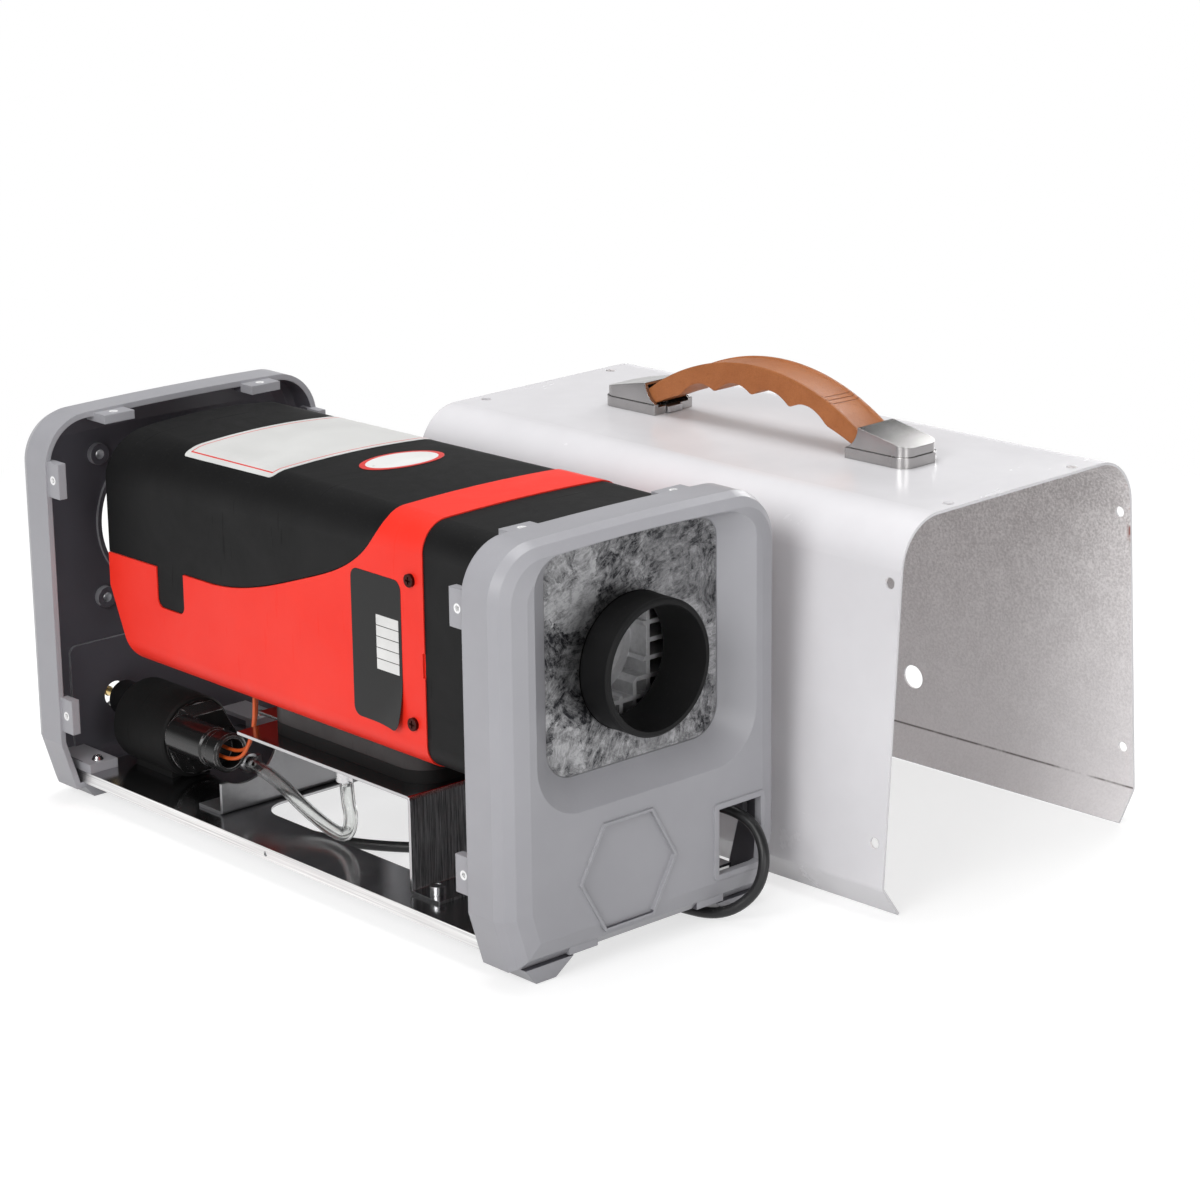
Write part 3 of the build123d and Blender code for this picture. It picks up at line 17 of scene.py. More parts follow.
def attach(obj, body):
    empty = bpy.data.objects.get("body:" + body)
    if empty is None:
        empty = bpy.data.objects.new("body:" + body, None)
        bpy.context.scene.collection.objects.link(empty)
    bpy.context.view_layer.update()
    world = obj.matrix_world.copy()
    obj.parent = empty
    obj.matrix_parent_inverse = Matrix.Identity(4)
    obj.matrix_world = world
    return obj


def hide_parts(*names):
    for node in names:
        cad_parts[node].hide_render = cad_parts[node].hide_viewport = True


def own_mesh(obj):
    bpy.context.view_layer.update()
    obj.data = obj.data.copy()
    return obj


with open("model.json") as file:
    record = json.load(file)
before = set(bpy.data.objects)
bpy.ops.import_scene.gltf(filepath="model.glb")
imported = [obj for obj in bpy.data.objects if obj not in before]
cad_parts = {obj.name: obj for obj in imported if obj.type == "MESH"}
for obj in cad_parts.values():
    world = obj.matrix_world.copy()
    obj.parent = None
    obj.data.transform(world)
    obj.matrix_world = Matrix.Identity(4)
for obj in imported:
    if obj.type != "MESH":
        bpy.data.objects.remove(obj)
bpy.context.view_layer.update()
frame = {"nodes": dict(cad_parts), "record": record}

nodes = frame["nodes"]
MM = 0.001

# %% [markdown]
# ## Camera
# The photograph was taken with a long lens from the front left, a little above the case. Four square
# edges of the case gave the direction and the distance. The position and two axes are written as
# measured, so the picture's frame is the photograph's own.

# %% Camera
CAMERA_PLACE = Vector((-0.9356, -1.1790, 0.5613))
CAMERA_FORWARD = Vector((0.64385, 0.71076, -0.28334)).normalized()
CAMERA_UP = Vector((0.19914, 0.20188, 0.95895))

camera_data = bpy.data.cameras.new("camera")
camera_data.lens = 103.2
camera_data.sensor_width = 36.0
camera = bpy.data.objects.new("camera", camera_data)
bpy.context.scene.collection.objects.link(camera)
camera_right = CAMERA_FORWARD.cross(CAMERA_UP).normalized()
camera_up = camera_right.cross(CAMERA_FORWARD)
turn = Matrix((camera_right, camera_up, -CAMERA_FORWARD)).transposed().to_4x4()
camera.matrix_world = Matrix.Translation(CAMERA_PLACE) @ turn
bpy.context.scene.camera = camera
print("camera at", [round(v, 3) for v in camera.location])

# %% [markdown]
# ## Small tools
# An operator acts on all that is selected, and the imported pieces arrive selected. So every step starts
# with nothing selected, or with one piece only. A finished piece keeps its place in its mesh, because
# its finish is drawn in the object's own coordinates.

# %% Select, edit, settle and paint


def set_mode(mode):
    """Go to "EDIT" or "OBJECT" mode."""
    if bpy.context.object:
        bpy.ops.object.mode_set(mode=mode)


def deselect():
    """Leave edit mode and select nothing."""
    set_mode("OBJECT")
    bpy.ops.object.select_all(action="DESELECT")


def activate(piece):
    """Make a piece the only selected and active one."""
    deselect()
    piece.select_set(True)
    bpy.context.view_layer.objects.active = piece


def edit_all(piece=None):
    """Enter edit mode with all of the piece selected."""
    if piece:
        activate(piece)
    set_mode("EDIT")
    bpy.ops.mesh.select_mode(type="VERT")
    bpy.ops.mesh.select_all(action="SELECT")


def settle():
    """Put the active object's place, turn and size into its mesh."""
    bpy.ops.object.transform_apply(location=True, rotation=True, scale=True)


def paint(piece, material):
    """Give a piece one material."""
    piece.data.materials.clear()
    piece.data.materials.append(material)


# %% [markdown]
# ## Lines that bend smoothly
# A cable or hose is drawn as one smooth curve: its route's points pull a NURBS line after them, so it
# rounds every corner as a stiff rubber jacket does. Order 3 has to be set after the points are there,
# or the line stays a chain of straight runs.

# %% A smooth line from route points


def smooth_line(name, points_mm, radius_mm, caps=True):
    """Curve object whose NURBS line follows the points, with a round section."""
    data = bpy.data.curves.new(name, "CURVE")
    data.dimensions = "3D"
    spline = data.splines.new("NURBS")
    spline.points.add(len(points_mm) - 1)
    for point, place in zip(spline.points, points_mm):
        point.co = (*(Vector(place) * MM), 1.0)
        point.radius = radius_mm * MM        # the box round a curve grows by this, so it isn't left at 1 m
    spline.order_u = 3
    spline.use_endpoint_u = True
    data.resolution_u = 8
    data.bevel_depth = 1.0
    data.bevel_resolution = 5
    data.use_fill_caps = caps
    line = bpy.data.objects.new(name, data)
    bpy.context.scene.collection.objects.link(line)
    return line


# %% [markdown]
# ## Power cable
# The 5 mm power cable leaves the casing through a rubber bushing, hangs out of the window in the front
# panel and goes back under the case along the floor. The photograph shows only those stretches, so its
# length is that of such a 12 V lead, about 1.7 m, and the spare part lies in a flat round coil behind
# the rear panel, in two layers. The coil's half turns are points of the same line.

# %% Cable route and coil
CABLE_Z = 2.6
CABLE_RADIUS = 2.5
CABLE_ROUTE = [
    (43.0, -137.0, 79.0), (43.0, -137.0, 61.5), (51.0, -151.0, 48.5), (60.0, -175.5, 45.5),
    (57.5, -188.6, 32.5), (53.0, -188.0, 14.5), (43.0, -175.5, CABLE_Z), (37.0, -150.0, CABLE_Z),
    (36.0, -106.0, CABLE_Z), (35.0, -60.0, CABLE_Z), (24.0, -32.0, CABLE_Z), (1.5, -17.9, CABLE_Z),
    (-20.0, 14.9, CABLE_Z), (-28.0, 54.0, CABLE_Z), (-25.0, 102.0, CABLE_Z), (-11.0, 146.0, CABLE_Z),
    (2.5, 184.0, CABLE_Z)]
COIL_LEFT = 2.5
COIL_MIDDLE_Y = 226.0
COIL_PITCH = 5.5
COIL_INWARD = [37.5, 34.75, 32.0, 29.25, 26.5, 23.75]
COIL_CLIMB = 21.0
COIL_TAIL = 30.0
HALF_TURN_POINTS = 8

coil_step = math.pi / HALF_TURN_POINTS
stretch = 1.0 / (0.75 + 0.25 * math.cos(coil_step))      # a NURBS line runs inside its points
cable_points = list(CABLE_ROUTE)
x, z, side = COIL_LEFT, CABLE_Z, -1
for radius in COIL_INWARD + [COIL_CLIMB] + COIL_INWARD[:0:-1]:
    middle = x - side * radius
    rise = COIL_PITCH if radius == COIL_CLIMB else 0.0
    for k in range(HALF_TURN_POINTS):
        angle = (k + 0.5) * coil_step
        cable_points.append((middle + side * stretch * radius * math.cos(angle),
                             COIL_MIDDLE_Y - side * stretch * radius * math.sin(angle),
                             z + rise * angle / math.pi))
    x, z, side = middle - side * radius, z + rise, -side
cable_points += [(x, COIL_MIDDLE_Y + 6.0, z), (x, COIL_MIDDLE_Y + COIL_TAIL, z)]
power_lead = smooth_line("power_lead", cable_points, CABLE_RADIUS)
print("cable control points", len(cable_points), "last", [round(v, 1) for v in cable_points[-1]])

# %% Length of a line


def line_length(line):
    """Length in metres of a curve object's centreline, read without its round section."""
    depth, line.data.bevel_depth = line.data.bevel_depth, 0.0
    bpy.context.view_layer.update()
    mesh = bpy.data.meshes.new_from_object(line)
    line.data.bevel_depth = depth
    spots = [vertex.co.copy() for vertex in mesh.vertices]
    bpy.data.meshes.remove(mesh)
    return sum((b - a).length for a, b in zip(spots, spots[1:]))


CABLE_LENGTH = line_length(power_lead)
print("cable length", round(CABLE_LENGTH, 3), "m")

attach(power_lead, "heater")
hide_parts("power_cable", "cable_coil")

# %% [markdown]
# ## Studio
# The object stands on a white sweep. The floor takes a soft shadow from its own diffuse part, and gets
# the rest of its white from a glow that only the camera, glossy and transmitted rays see, so that no
# extra light falls on the object. Four large soft lamps light it at a plain level. Metal needs dark
# areas to reflect as well as bright ones, so the world is white near the floor and dark above.

# %% Node shorthand


def add_node(tree, kind, **values):
    """New node with its properties set by name."""
    node = tree.nodes.new(kind)
    for key, value in values.items():
        setattr(node, key, value)
    return node


def join(tree, source, target):
    tree.links.new(source, target)


def compute(tree, operation, first, second=None, third=None):
    """Math node on sockets or numbers; gives its output socket."""
    node = add_node(tree, "ShaderNodeMath", operation=operation)
    for index, value in enumerate((first, second, third)):
        if value is None:
            continue
        if isinstance(value, (int, float)):
            node.inputs[index].default_value = value
        else:
            join(tree, value, node.inputs[index])
    return node.outputs[0]


def times(tree, first, second):
    return compute(tree, "MULTIPLY", first, second)


def minus(tree, first, second):
    return compute(tree, "SUBTRACT", first, second)


def larger(tree, first, second):
    """The larger of two values: for masks, where either of them is set."""
    return compute(tree, "MAXIMUM", first, second)


def times_plus(tree, first, second, third):
    """First times second, plus third."""
    return compute(tree, "MULTIPLY_ADD", first, second, third)


def above(tree, value, limit):
    return compute(tree, "GREATER_THAN", value, limit)


def below(tree, value, limit):
    return compute(tree, "LESS_THAN", value, limit)


def unsigned(tree, value):
    return compute(tree, "ABSOLUTE", value)


def span(tree, value, low, high, to_low=0.0, to_high=1.0):
    """Map Range node with clamping; gives its output socket."""
    node = add_node(tree, "ShaderNodeMapRange")
    join(tree, value, node.inputs["Value"])
    for key, number in (("From Min", low), ("From Max", high), ("To Min", to_low), ("To Max", to_high)):
        node.inputs[key].default_value = number
    return node.outputs["Result"]


def blend_colours(tree, factor, first, second):
    """Mix of two colours, each a socket or a tuple; gives its output socket."""
    node = add_node(tree, "ShaderNodeMix", data_type="RGBA")
    join(tree, factor, node.inputs[0])
    for value, socket in zip((first, second), [s for s in node.inputs if s.type == "RGBA"]):
        if isinstance(value, tuple):
            socket.default_value = (*value, 1.0)
        else:
            join(tree, value, socket)
    return [s for s in node.outputs if s.type == "RGBA"][0]


def vector_math(tree, operation, *vectors):
    """Vector Math node on sockets or tuples; gives its outputs."""
    node = add_node(tree, "ShaderNodeVectorMath", operation=operation)
    for socket, vector in zip(node.inputs, vectors):
        if isinstance(vector, tuple):
            socket.default_value = vector
        else:
            join(tree, vector, socket)
    return node.outputs


def axes_of(tree, vector):
    """A vector socket's parts, as outputs named X, Y and Z."""
    node = add_node(tree, "ShaderNodeSeparateXYZ")
    join(tree, vector, node.inputs[0])
    return node.outputs


def mapped(tree, vector, kind, **changes):
    """Mapping node on a vector socket; gives its output socket."""
    node = add_node(tree, "ShaderNodeMapping", vector_type=kind)
    join(tree, vector, node.inputs["Vector"])
    for key, value in changes.items():
        node.inputs[key].default_value = value
    return node.outputs[0]


def true_normal(tree):
    """The face's own normal, before smoothing and bump."""
    return add_node(tree, "ShaderNodeNewGeometry").outputs["True Normal"]


# %% World
WORLD_FILL = 0.42
WORLD_DARK = 0.10
WORLD_HORIZON = (0.02, 0.28)  # rise of the direction over which the white turns dark

scene = bpy.context.scene
scene.view_settings.view_transform = "Standard"
world = bpy.data.worlds.new("studio")
scene.world = world
world.use_nodes = True
tree = world.node_tree
tree.nodes.clear()
rays = add_node(tree, "ShaderNodeLightPath").outputs
height = axes_of(tree, add_node(tree, "ShaderNodeTexCoord").outputs["Generated"])["Z"]
sweep = span(tree, height, *WORLD_HORIZON, 1.0, WORLD_DARK)
seen = larger(tree, rays["Is Camera Ray"], rays["Is Transmission Ray"])
shown = larger(tree, seen, times(tree, rays["Is Glossy Ray"], sweep))
special = larger(tree, seen, rays["Is Glossy Ray"])
fill = times(tree, minus(tree, 1.0, special), WORLD_FILL)
background = add_node(tree, "ShaderNodeBackground")
background.inputs["Color"].default_value = (1.0, 1.0, 1.0, 1.0)
join(tree, compute(tree, "ADD", shown, fill), background.inputs["Strength"])
world_out = add_node(tree, "ShaderNodeOutputWorld")
join(tree, background.outputs[0], world_out.inputs["Surface"])
print("world fill", WORLD_FILL)

# %% Floor
FLOOR_SIZE = 6.0
FLOOR_TONE = 0.42             # diffuse share that takes the shadow
FLOOR_GLOW = 0.66
FLOOR_CENTRE = (0.08, 0.0)
FLOOR_FADE = (0.38, 0.75)     # distances from the centre between which the floor turns pure white
FLOOR_BOUNCE = 0.72           # what the floor throws back at the object
FLOOR_DROP = 0.0004

deselect()
bpy.ops.mesh.primitive_plane_add(size=FLOOR_SIZE, location=(*FLOOR_CENTRE, -FLOOR_DROP))
floor = bpy.context.object
floor.name = "studio_floor"
settle()
floor_paint = bpy.data.materials.new("white_sweep")
floor_paint.use_nodes = True
tree = floor_paint.node_tree
tree.nodes.clear()
rays = add_node(tree, "ShaderNodeLightPath").outputs
place = add_node(tree, "ShaderNodeTexCoord").outputs["Object"]
reach = vector_math(tree, "DISTANCE", place, (*FLOOR_CENTRE, 0.0))["Value"]
seen = larger(tree, rays["Is Camera Ray"], larger(tree, rays["Is Glossy Ray"], rays["Is Transmission Ray"]))


def floor_shader(kind, key, value):
    node = add_node(tree, kind)
    node.inputs[key].default_value = value
    return node.outputs[0]


def combine(kind, *sources):
    """Add Shader or Mix Shader node; the mask of a mix comes first."""
    node = add_node(tree, kind)
    for source, socket in zip(sources, node.inputs):
        join(tree, source, socket)
    return node.outputs[0]


shadowed = floor_shader("ShaderNodeBsdfDiffuse", "Color", (FLOOR_TONE, FLOOR_TONE, FLOOR_TONE, 1.0))
glowing = floor_shader("ShaderNodeEmission", "Strength", FLOOR_GLOW)
pure_white = floor_shader("ShaderNodeEmission", "Strength", 1.0)
bounce = floor_shader("ShaderNodeBsdfDiffuse", "Color", (FLOOR_BOUNCE, FLOOR_BOUNCE, FLOOR_BOUNCE, 1.0))
near_floor = combine("ShaderNodeAddShader", shadowed, glowing)
fading = combine("ShaderNodeMixShader", span(tree, reach, *FLOOR_FADE), near_floor, pure_white)
floor_out = add_node(tree, "ShaderNodeOutputMaterial")
join(tree, combine("ShaderNodeMixShader", seen, bounce, fading), floor_out.inputs["Surface"])
paint(floor, floor_paint)

# %% Lamps
AIM = Vector((0.06, 0.0, 0.09))
LAMPS = {
    "key_left": ((-1.35, -0.50, 0.85), 0.9, 14.0),
    "front_fill": ((-0.55, -1.75, 0.42), 0.9, 7.5),
    "overhead": ((0.15, 0.15, 1.5), 1.0, 13.0),
    "right_rim": ((1.5, 0.35, 0.75), 0.7, 9.0),
}
for name, (spot, size, power) in LAMPS.items():
    lamp_data = bpy.data.lights.new(name, "AREA")
    lamp_data.shape = "DISK"
    lamp_data.size = size
    lamp_data.energy = power
    lamp = bpy.data.objects.new(name, lamp_data)
    scene.collection.objects.link(lamp)
    lamp.location = spot
    lamp.rotation_euler = (AIM - Vector(spot)).to_track_quat("-Z", "Y").to_euler()
print(len(LAMPS), "lamps")

# %% [markdown]
# ## Effects that many finishes share
# Wear, grain, handling marks, zinc spangle and brushing each become a node group, built once. Every
# group reads the piece's own coordinates and gives out masks, heights or normals that change over the
# surface. The shader itself stays in each material.

# %% Start a node group


def new_group(name, vectors, values, results):
    """Node group from vector inputs and number inputs; gives the tree, what comes in and what goes out."""
    tree = bpy.data.node_groups.new(name, "ShaderNodeTree")
    for key in vectors:
        tree.interface.new_socket(key, in_out="INPUT", socket_type="NodeSocketVector")
    for key, value in values.items():
        socket = tree.interface.new_socket(key, in_out="INPUT", socket_type="NodeSocketFloat")
        socket.default_value = value
    for key in results:
        kind = "NodeSocketVector" if key == "Normal" else "NodeSocketFloat"
        tree.interface.new_socket(key, in_out="OUTPUT", socket_type=kind)
    return tree, add_node(tree, "NodeGroupInput").outputs, add_node(tree, "NodeGroupOutput").inputs


def noise(tree, vector, scale, detail=3.0, roughness=0.5, distortion=0.0, output="Fac"):
    """Noise texture on a vector socket; the scale is a number or a socket."""
    node = add_node(tree, "ShaderNodeTexNoise")
    join(tree, vector, node.inputs["Vector"])
    if isinstance(scale, (int, float)):
        node.inputs["Scale"].default_value = scale
    else:
        join(tree, scale, node.inputs["Scale"])
    for key, value in (("Detail", detail), ("Roughness", roughness), ("Distortion", distortion)):
        node.inputs[key].default_value = value
    return node.outputs[output]


# %% Edge wear
# A bevel node looks a fraction of a millimetre round each point. Where the rounded normal differs from
# the true one there is an edge, and a noise breaks the edge up as handling does. On the glossy nylon
# the same edge mask lays a painted highlight.
edge_wear_and_highlight, given, result = new_group(
    "edge_wear_and_highlight", ["Vector"], {"Radius": 0.0005, "Breakup": 140.0}, ["Edge", "Normal"])
rounded = add_node(edge_wear_and_highlight, "ShaderNodeBevel", samples=4)
join(edge_wear_and_highlight, given["Radius"], rounded.inputs["Radius"])
alike = vector_math(edge_wear_and_highlight, "DOT_PRODUCT", rounded.outputs[0], true_normal(edge_wear_and_highlight))["Value"]
sharp = span(edge_wear_and_highlight, alike, 0.995, 0.86)
broken = noise(edge_wear_and_highlight, given["Vector"], given["Breakup"], 4.0, 0.6)
join(edge_wear_and_highlight, times(edge_wear_and_highlight, sharp, span(edge_wear_and_highlight, broken, 0.42, 0.62)), result["Edge"])
join(edge_wear_and_highlight, rounded.outputs[0], result["Normal"])

# %% Moulded grain
# Spark-eroded moulds leave a fine even grain on plastic, over a slight waviness from cooling.
moulded_grain, given, result = new_group("moulded_grain", ["Vector"], {"Scale": 1400.0}, ["Height", "Tone"])
surface = given["Vector"]
fine = noise(moulded_grain, surface, given["Scale"], 2.0, 0.6)
wave = noise(moulded_grain, surface, 28.0, 2.0, 0.4)
relief = times_plus(moulded_grain, wave, 0.9, times(moulded_grain, fine, 0.35))
join(moulded_grain, relief, result["Height"])
join(moulded_grain, noise(moulded_grain, surface, 9.0, 5.0, 0.62), result["Tone"])

# %% Handling marks
# Hands and cloths leave cloudy smears that change the gloss, and a few short thin scratches.
handling, given, result = new_group(
    "handling_marks", ["Vector"], {"Scale": 22.0}, ["Smear", "Scratch", "Dust"])
surface = given["Vector"]
join(handling, noise(handling, surface, given["Scale"], 6.0, 0.68, 0.6), result["Smear"])
scratches = []
for rotation in ((0.3, 0.9, 0.4), (1.2, 0.2, 2.0)):
    turned = mapped(handling, surface, "POINT", Rotation=rotation, Scale=(12.0, 420.0, 40.0))
    scratches.append(span(handling, noise(handling, turned, 1.0, 1.0), 0.735, 0.76))
join(handling, larger(handling, *scratches), result["Scratch"])
upward = axes_of(handling, add_node(handling, "ShaderNodeNewGeometry").outputs["Normal"])["Z"]
specks = span(handling, noise(handling, surface, 900.0, 2.0, 0.5), 0.60, 0.74)
join(handling, times(handling, span(handling, upward, 0.2, 0.9), specks), result["Dust"])

# %% Zinc spangle
# Hot-dip zinc freezes in flat crystals. Each has its own grey and its own feather, whose ribs run in
# the crystal's direction: the coordinates are turned by a random angle per cell and then squeezed.
spangle, given, result = new_group(
    "zinc_spangle", ["Vector", "Sheet"], {"Scale": 45.0}, ["Tone", "Height", "Calm"])
surface = given["Vector"]
warp = noise(spangle, surface, 110.0, 6.0, 0.65, output="Color")
shifted = vector_math(spangle, "MULTIPLY_ADD", warp, (0.020, 0.020, 0.020), surface)[0]
cells = add_node(spangle, "ShaderNodeTexVoronoi", feature="F1")
join(spangle, shifted, cells.inputs["Vector"])
join(spangle, given["Scale"], cells.inputs["Scale"])
chance = add_node(spangle, "ShaderNodeSeparateColor")
join(spangle, cells.outputs["Color"], chance.inputs[0])
growth = add_node(spangle, "ShaderNodeVectorRotate", rotation_type="AXIS_ANGLE")
join(spangle, surface, growth.inputs["Vector"])
join(spangle, given["Sheet"], growth.inputs["Axis"])
join(spangle, times(spangle, chance.outputs[1], math.tau), growth.inputs["Angle"])
ribs = vector_math(spangle, "MULTIPLY", growth.outputs[0], (150.0, 480.0, 480.0))[0]
feather = noise(spangle, ribs, 1.0, 6.0, 0.72, 0.9)
mottle = noise(spangle, surface, 115.0, 12.0, 0.80, 0.5)
calm = span(spangle, noise(spangle, surface, 17.0, 3.0, 0.55), 0.50, 0.66)
tone = times_plus(spangle, feather, 0.34, times(spangle, mottle, 0.62))
tone = times_plus(spangle, chance.outputs[0], 0.10, tone)
for key, value in (("Tone", tone), ("Height", compute(spangle, "ADD", feather, mottle)), ("Calm", calm)):
    join(spangle, value, result[key])

# %% Brushing
# A belt or a roller draws fine parallel lines in metal; the vector is squeezed across the lines.
brushed, given, result = new_group("brushed_lines", ["Vector", "Along"], {}, ["Lines", "Cloud"])
squeezed = vector_math(brushed, "MULTIPLY", given["Vector"], given["Along"])[0]
join(brushed, noise(brushed, squeezed, 1.0, 4.0, 0.7), result["Lines"])
join(brushed, noise(brushed, given["Vector"], 30.0, 5.0, 0.6), result["Cloud"])
print("groups", sorted(g.name for g in bpy.data.node_groups))

# %% [markdown]
# ## Finishes
# A finish starts with a Principled shader and the piece's own coordinates. The helper places the
# shared groups with this material's values: two tones that a cloudy mask mixes, lighter edges (worn,
# and on the glossy nylon a painted highlight), a range of gloss, and a bump whose base is the rounded
# normal, so no edge is knife sharp.

# %% Finish helpers
DUST = (0.62, 0.60, 0.57)


def place_group(tree, group, **values):
    """Group node in a material, with inputs set by number or joined by socket; gives its outputs."""
    node = add_node(tree, "ShaderNodeGroup", node_tree=group)
    for key, value in values.items():
        if isinstance(value, (int, float, tuple)):
            node.inputs[key].default_value = value
        else:
            join(tree, value, node.inputs[key])
    return node.outputs


def start_finish(name, **sockets):
    """Material whose shader's plain sockets are set here; gives material, tree, shader, coordinates."""
    material = bpy.data.materials.new(name)
    material.use_nodes = True
    tree = material.node_tree
    shader = tree.nodes["Principled BSDF"]
    for key, value in sockets.items():
        shader.inputs[key.replace("_", " ")].default_value = value
    coords = add_node(tree, "ShaderNodeTexCoord")
    return material, tree, shader, coords.outputs["Object"]


def close_finish(tree, shader, colour, rough, height, normal, depth):
    """Join colour, roughness and bump to the shader; depth is the bump's distance in metres."""
    join(tree, colour, shader.inputs["Base Color"])
    join(tree, rough, shader.inputs["Roughness"])
    bump = add_node(tree, "ShaderNodeBump")
    bump.inputs["Strength"].default_value = 1.0
    bump.inputs["Distance"].default_value = depth
    join(tree, height, bump.inputs["Height"])
    join(tree, normal, bump.inputs["Normal"])
    join(tree, bump.outputs[0], shader.inputs["Normal"])


def two_tones(tree, mask, dark, light, low=0.35, high=0.65):
    """Two close colours, mixed where a cloudy mask goes from low to high."""
    return blend_colours(tree, span(tree, mask, low, high), dark, light)


def touch(tree, mask, share, under, over):
    """Lay a colour over another where a mask says so, at a share of its strength."""
    return blend_colours(tree, times(tree, mask, share), under, over)


def smeared(tree, marks, gloss):
    """Roughness that follows the handling smears between two values."""
    return span(tree, marks["Smear"], 0.32, 0.68, *gloss)


def mix_values(tree, factor, first, second):
    """Mix of two value sockets; gives its output socket."""
    node = add_node(tree, "ShaderNodeMix", data_type="FLOAT")
    for socket, source in zip(node.inputs, (factor, None, first, second)):
        if source is not None:
            join(tree, source, socket)
    return node.outputs[0]


def plastic(name, dark, light, edge_tone, gloss, grain=1400.0, edge=0.0005, dust=0.10, specular=0.5, edge_share=0.5):
    """Moulded plastic: two close tones, lighter edges from handling (on the glossy nylon a painted
    highlight), smears, dust on upward faces and fine grain.
    """
    material, tree, shader, coords = start_finish(name, Specular_IOR_Level=specular)
    grained = place_group(tree, moulded_grain, Vector=coords, Scale=grain)
    marks = place_group(tree, handling, Vector=coords)
    edges = place_group(tree, edge_wear_and_highlight, Vector=coords, Radius=edge)
    colour = two_tones(tree, grained["Tone"], dark, light)
    colour = touch(tree, edges["Edge"], edge_share, colour, edge_tone)
    colour = touch(tree, marks["Dust"], dust, colour, DUST)
    rough = times_plus(tree, marks["Scratch"], 0.12, smeared(tree, marks, gloss))
    close_finish(tree, shader, colour, rough, grained["Height"], edges["Normal"], 0.00002)
    return material


def metal(name, dark, light, edge_tone, gloss, along=(900.0, 40.0, 900.0), depth=0.000006):
    """Bare metal: drawn lines, cloudy tone, bright edges and thin scratches."""
    material, tree, shader, coords = start_finish(name, Metallic=1.0)
    lines = place_group(tree, brushed, Vector=coords, Along=along)
    marks = place_group(tree, handling, Vector=coords, Scale=45.0)
    edges = place_group(tree, edge_wear_and_highlight, Vector=coords, Radius=0.0004)
    cloud = times(tree, lines["Cloud"], 0.45)
    tone = times_plus(tree, lines["Lines"], 0.55, cloud)
    colour = two_tones(tree, tone, dark, light, 0.36, 0.64)
    colour = touch(tree, edges["Edge"], 0.6, colour, edge_tone)
    cloudy = times_plus(tree, marks["Scratch"], 0.3, marks["Smear"])
    rough = span(tree, cloudy, 0.35, 0.75, *gloss)
    close_finish(tree, shader, colour, rough, lines["Lines"], edges["Normal"], depth)
    return material


# %% Plastics, rubber and bare metals
finishes = {
    "black_plastic": plastic(
        "black_moulding", (0.0055, 0.0055, 0.0058), (0.0085, 0.0085, 0.0088), (0.03, 0.03, 0.032),
        (0.46, 0.60), specular=0.16, dust=0.015),
    "red_plastic": plastic(
        "red_moulding", (0.80, 0.022, 0.010), (0.86, 0.034, 0.018), (0.92, 0.14, 0.09),
        (0.36, 0.50), specular=0.3, edge_share=0.35, dust=0.03),
    "black_rubber": plastic(
        "black_rubber", (0.005, 0.005, 0.005), (0.008, 0.008, 0.008), (0.03, 0.03, 0.03),
        (0.55, 0.72), grain=900.0, specular=0.2, dust=0.015),
    # painted highlight: the near-black nylon's edges are laid pale grey at nine tenths
    "glossy_nylon": plastic(
        "glossy_nylon", (0.004, 0.004, 0.004), (0.007, 0.007, 0.007), (0.55, 0.55, 0.55),
        (0.16, 0.30), grain=900.0, dust=0.02, edge=0.0007, edge_share=0.9),
    "white_connector": plastic(
        "connector_nylon", (0.70, 0.69, 0.64), (0.78, 0.77, 0.73), (0.85, 0.85, 0.82), (0.34, 0.48)),
    "cable_jacket": plastic(
        "cable_jacket", (0.010, 0.010, 0.011), (0.016, 0.016, 0.017), (0.05, 0.05, 0.05),
        (0.30, 0.44), grain=900.0, specular=0.4),
    "orange_wire": plastic(
        "orange_wire", (0.50, 0.075, 0.012), (0.62, 0.11, 0.020), (0.70, 0.20, 0.06),
        (0.30, 0.44), grain=900.0),
    "magnet": plastic(
        "ferrite", (0.05, 0.05, 0.055), (0.09, 0.09, 0.10), (0.16, 0.16, 0.17), (0.55, 0.70), grain=700.0),
    "steel": metal(
        "drawn_steel", (0.42, 0.42, 0.43), (0.58, 0.58, 0.59), (0.75, 0.75, 0.76), (0.22, 0.40)),
    "screw_steel": metal(
        "zinc_plated_screws", (0.55, 0.55, 0.56), (0.70, 0.70, 0.71), (0.85, 0.85, 0.86),
        (0.20, 0.36), along=(500.0, 500.0, 1500.0)),
    "cast_aluminium": metal(
        "cast_aluminium", (0.48, 0.48, 0.49), (0.62, 0.62, 0.63), (0.78, 0.78, 0.79),
        (0.42, 0.60), along=(420.0, 420.0, 420.0), depth=0.00006),
    "bearing_bronze": metal(
        "sintered_bronze", (0.42, 0.27, 0.12), (0.56, 0.38, 0.19), (0.70, 0.52, 0.30),
        (0.35, 0.52), along=(800.0, 800.0, 800.0)),
    "brass": metal(
        "turned_brass", (0.60, 0.43, 0.17), (0.74, 0.56, 0.26), (0.86, 0.72, 0.45), (0.20, 0.36)),
    "copper_winding": metal(
        "enamelled_copper", (0.42, 0.16, 0.07), (0.58, 0.25, 0.11), (0.68, 0.36, 0.20),
        (0.25, 0.42), along=(60.0, 2500.0, 60.0), depth=0.00003),
    "handle_metal": metal(
        "satin_nickel", (0.40, 0.39, 0.385), (0.46, 0.45, 0.445), (0.78, 0.78, 0.78),
        (0.22, 0.28), along=(60.0, 60.0, 60.0), depth=0.000002),
}
paint(power_lead, finishes["cable_jacket"])
print(len(finishes), "plain finishes")

# %% [markdown]
# ## Zinc sheets
# The chassis and the plate round the outlet are galvanised sheet. The outlet plate shows big bright
# spangles. The rolled base and deck are shinier and mirror what stands on them, with faint lines along
# the rolling direction. The rear leg is duller.

# %% Zinc finishes
SPANGLE_MIDDLE = 0.54          # the spangle tone's own middle value


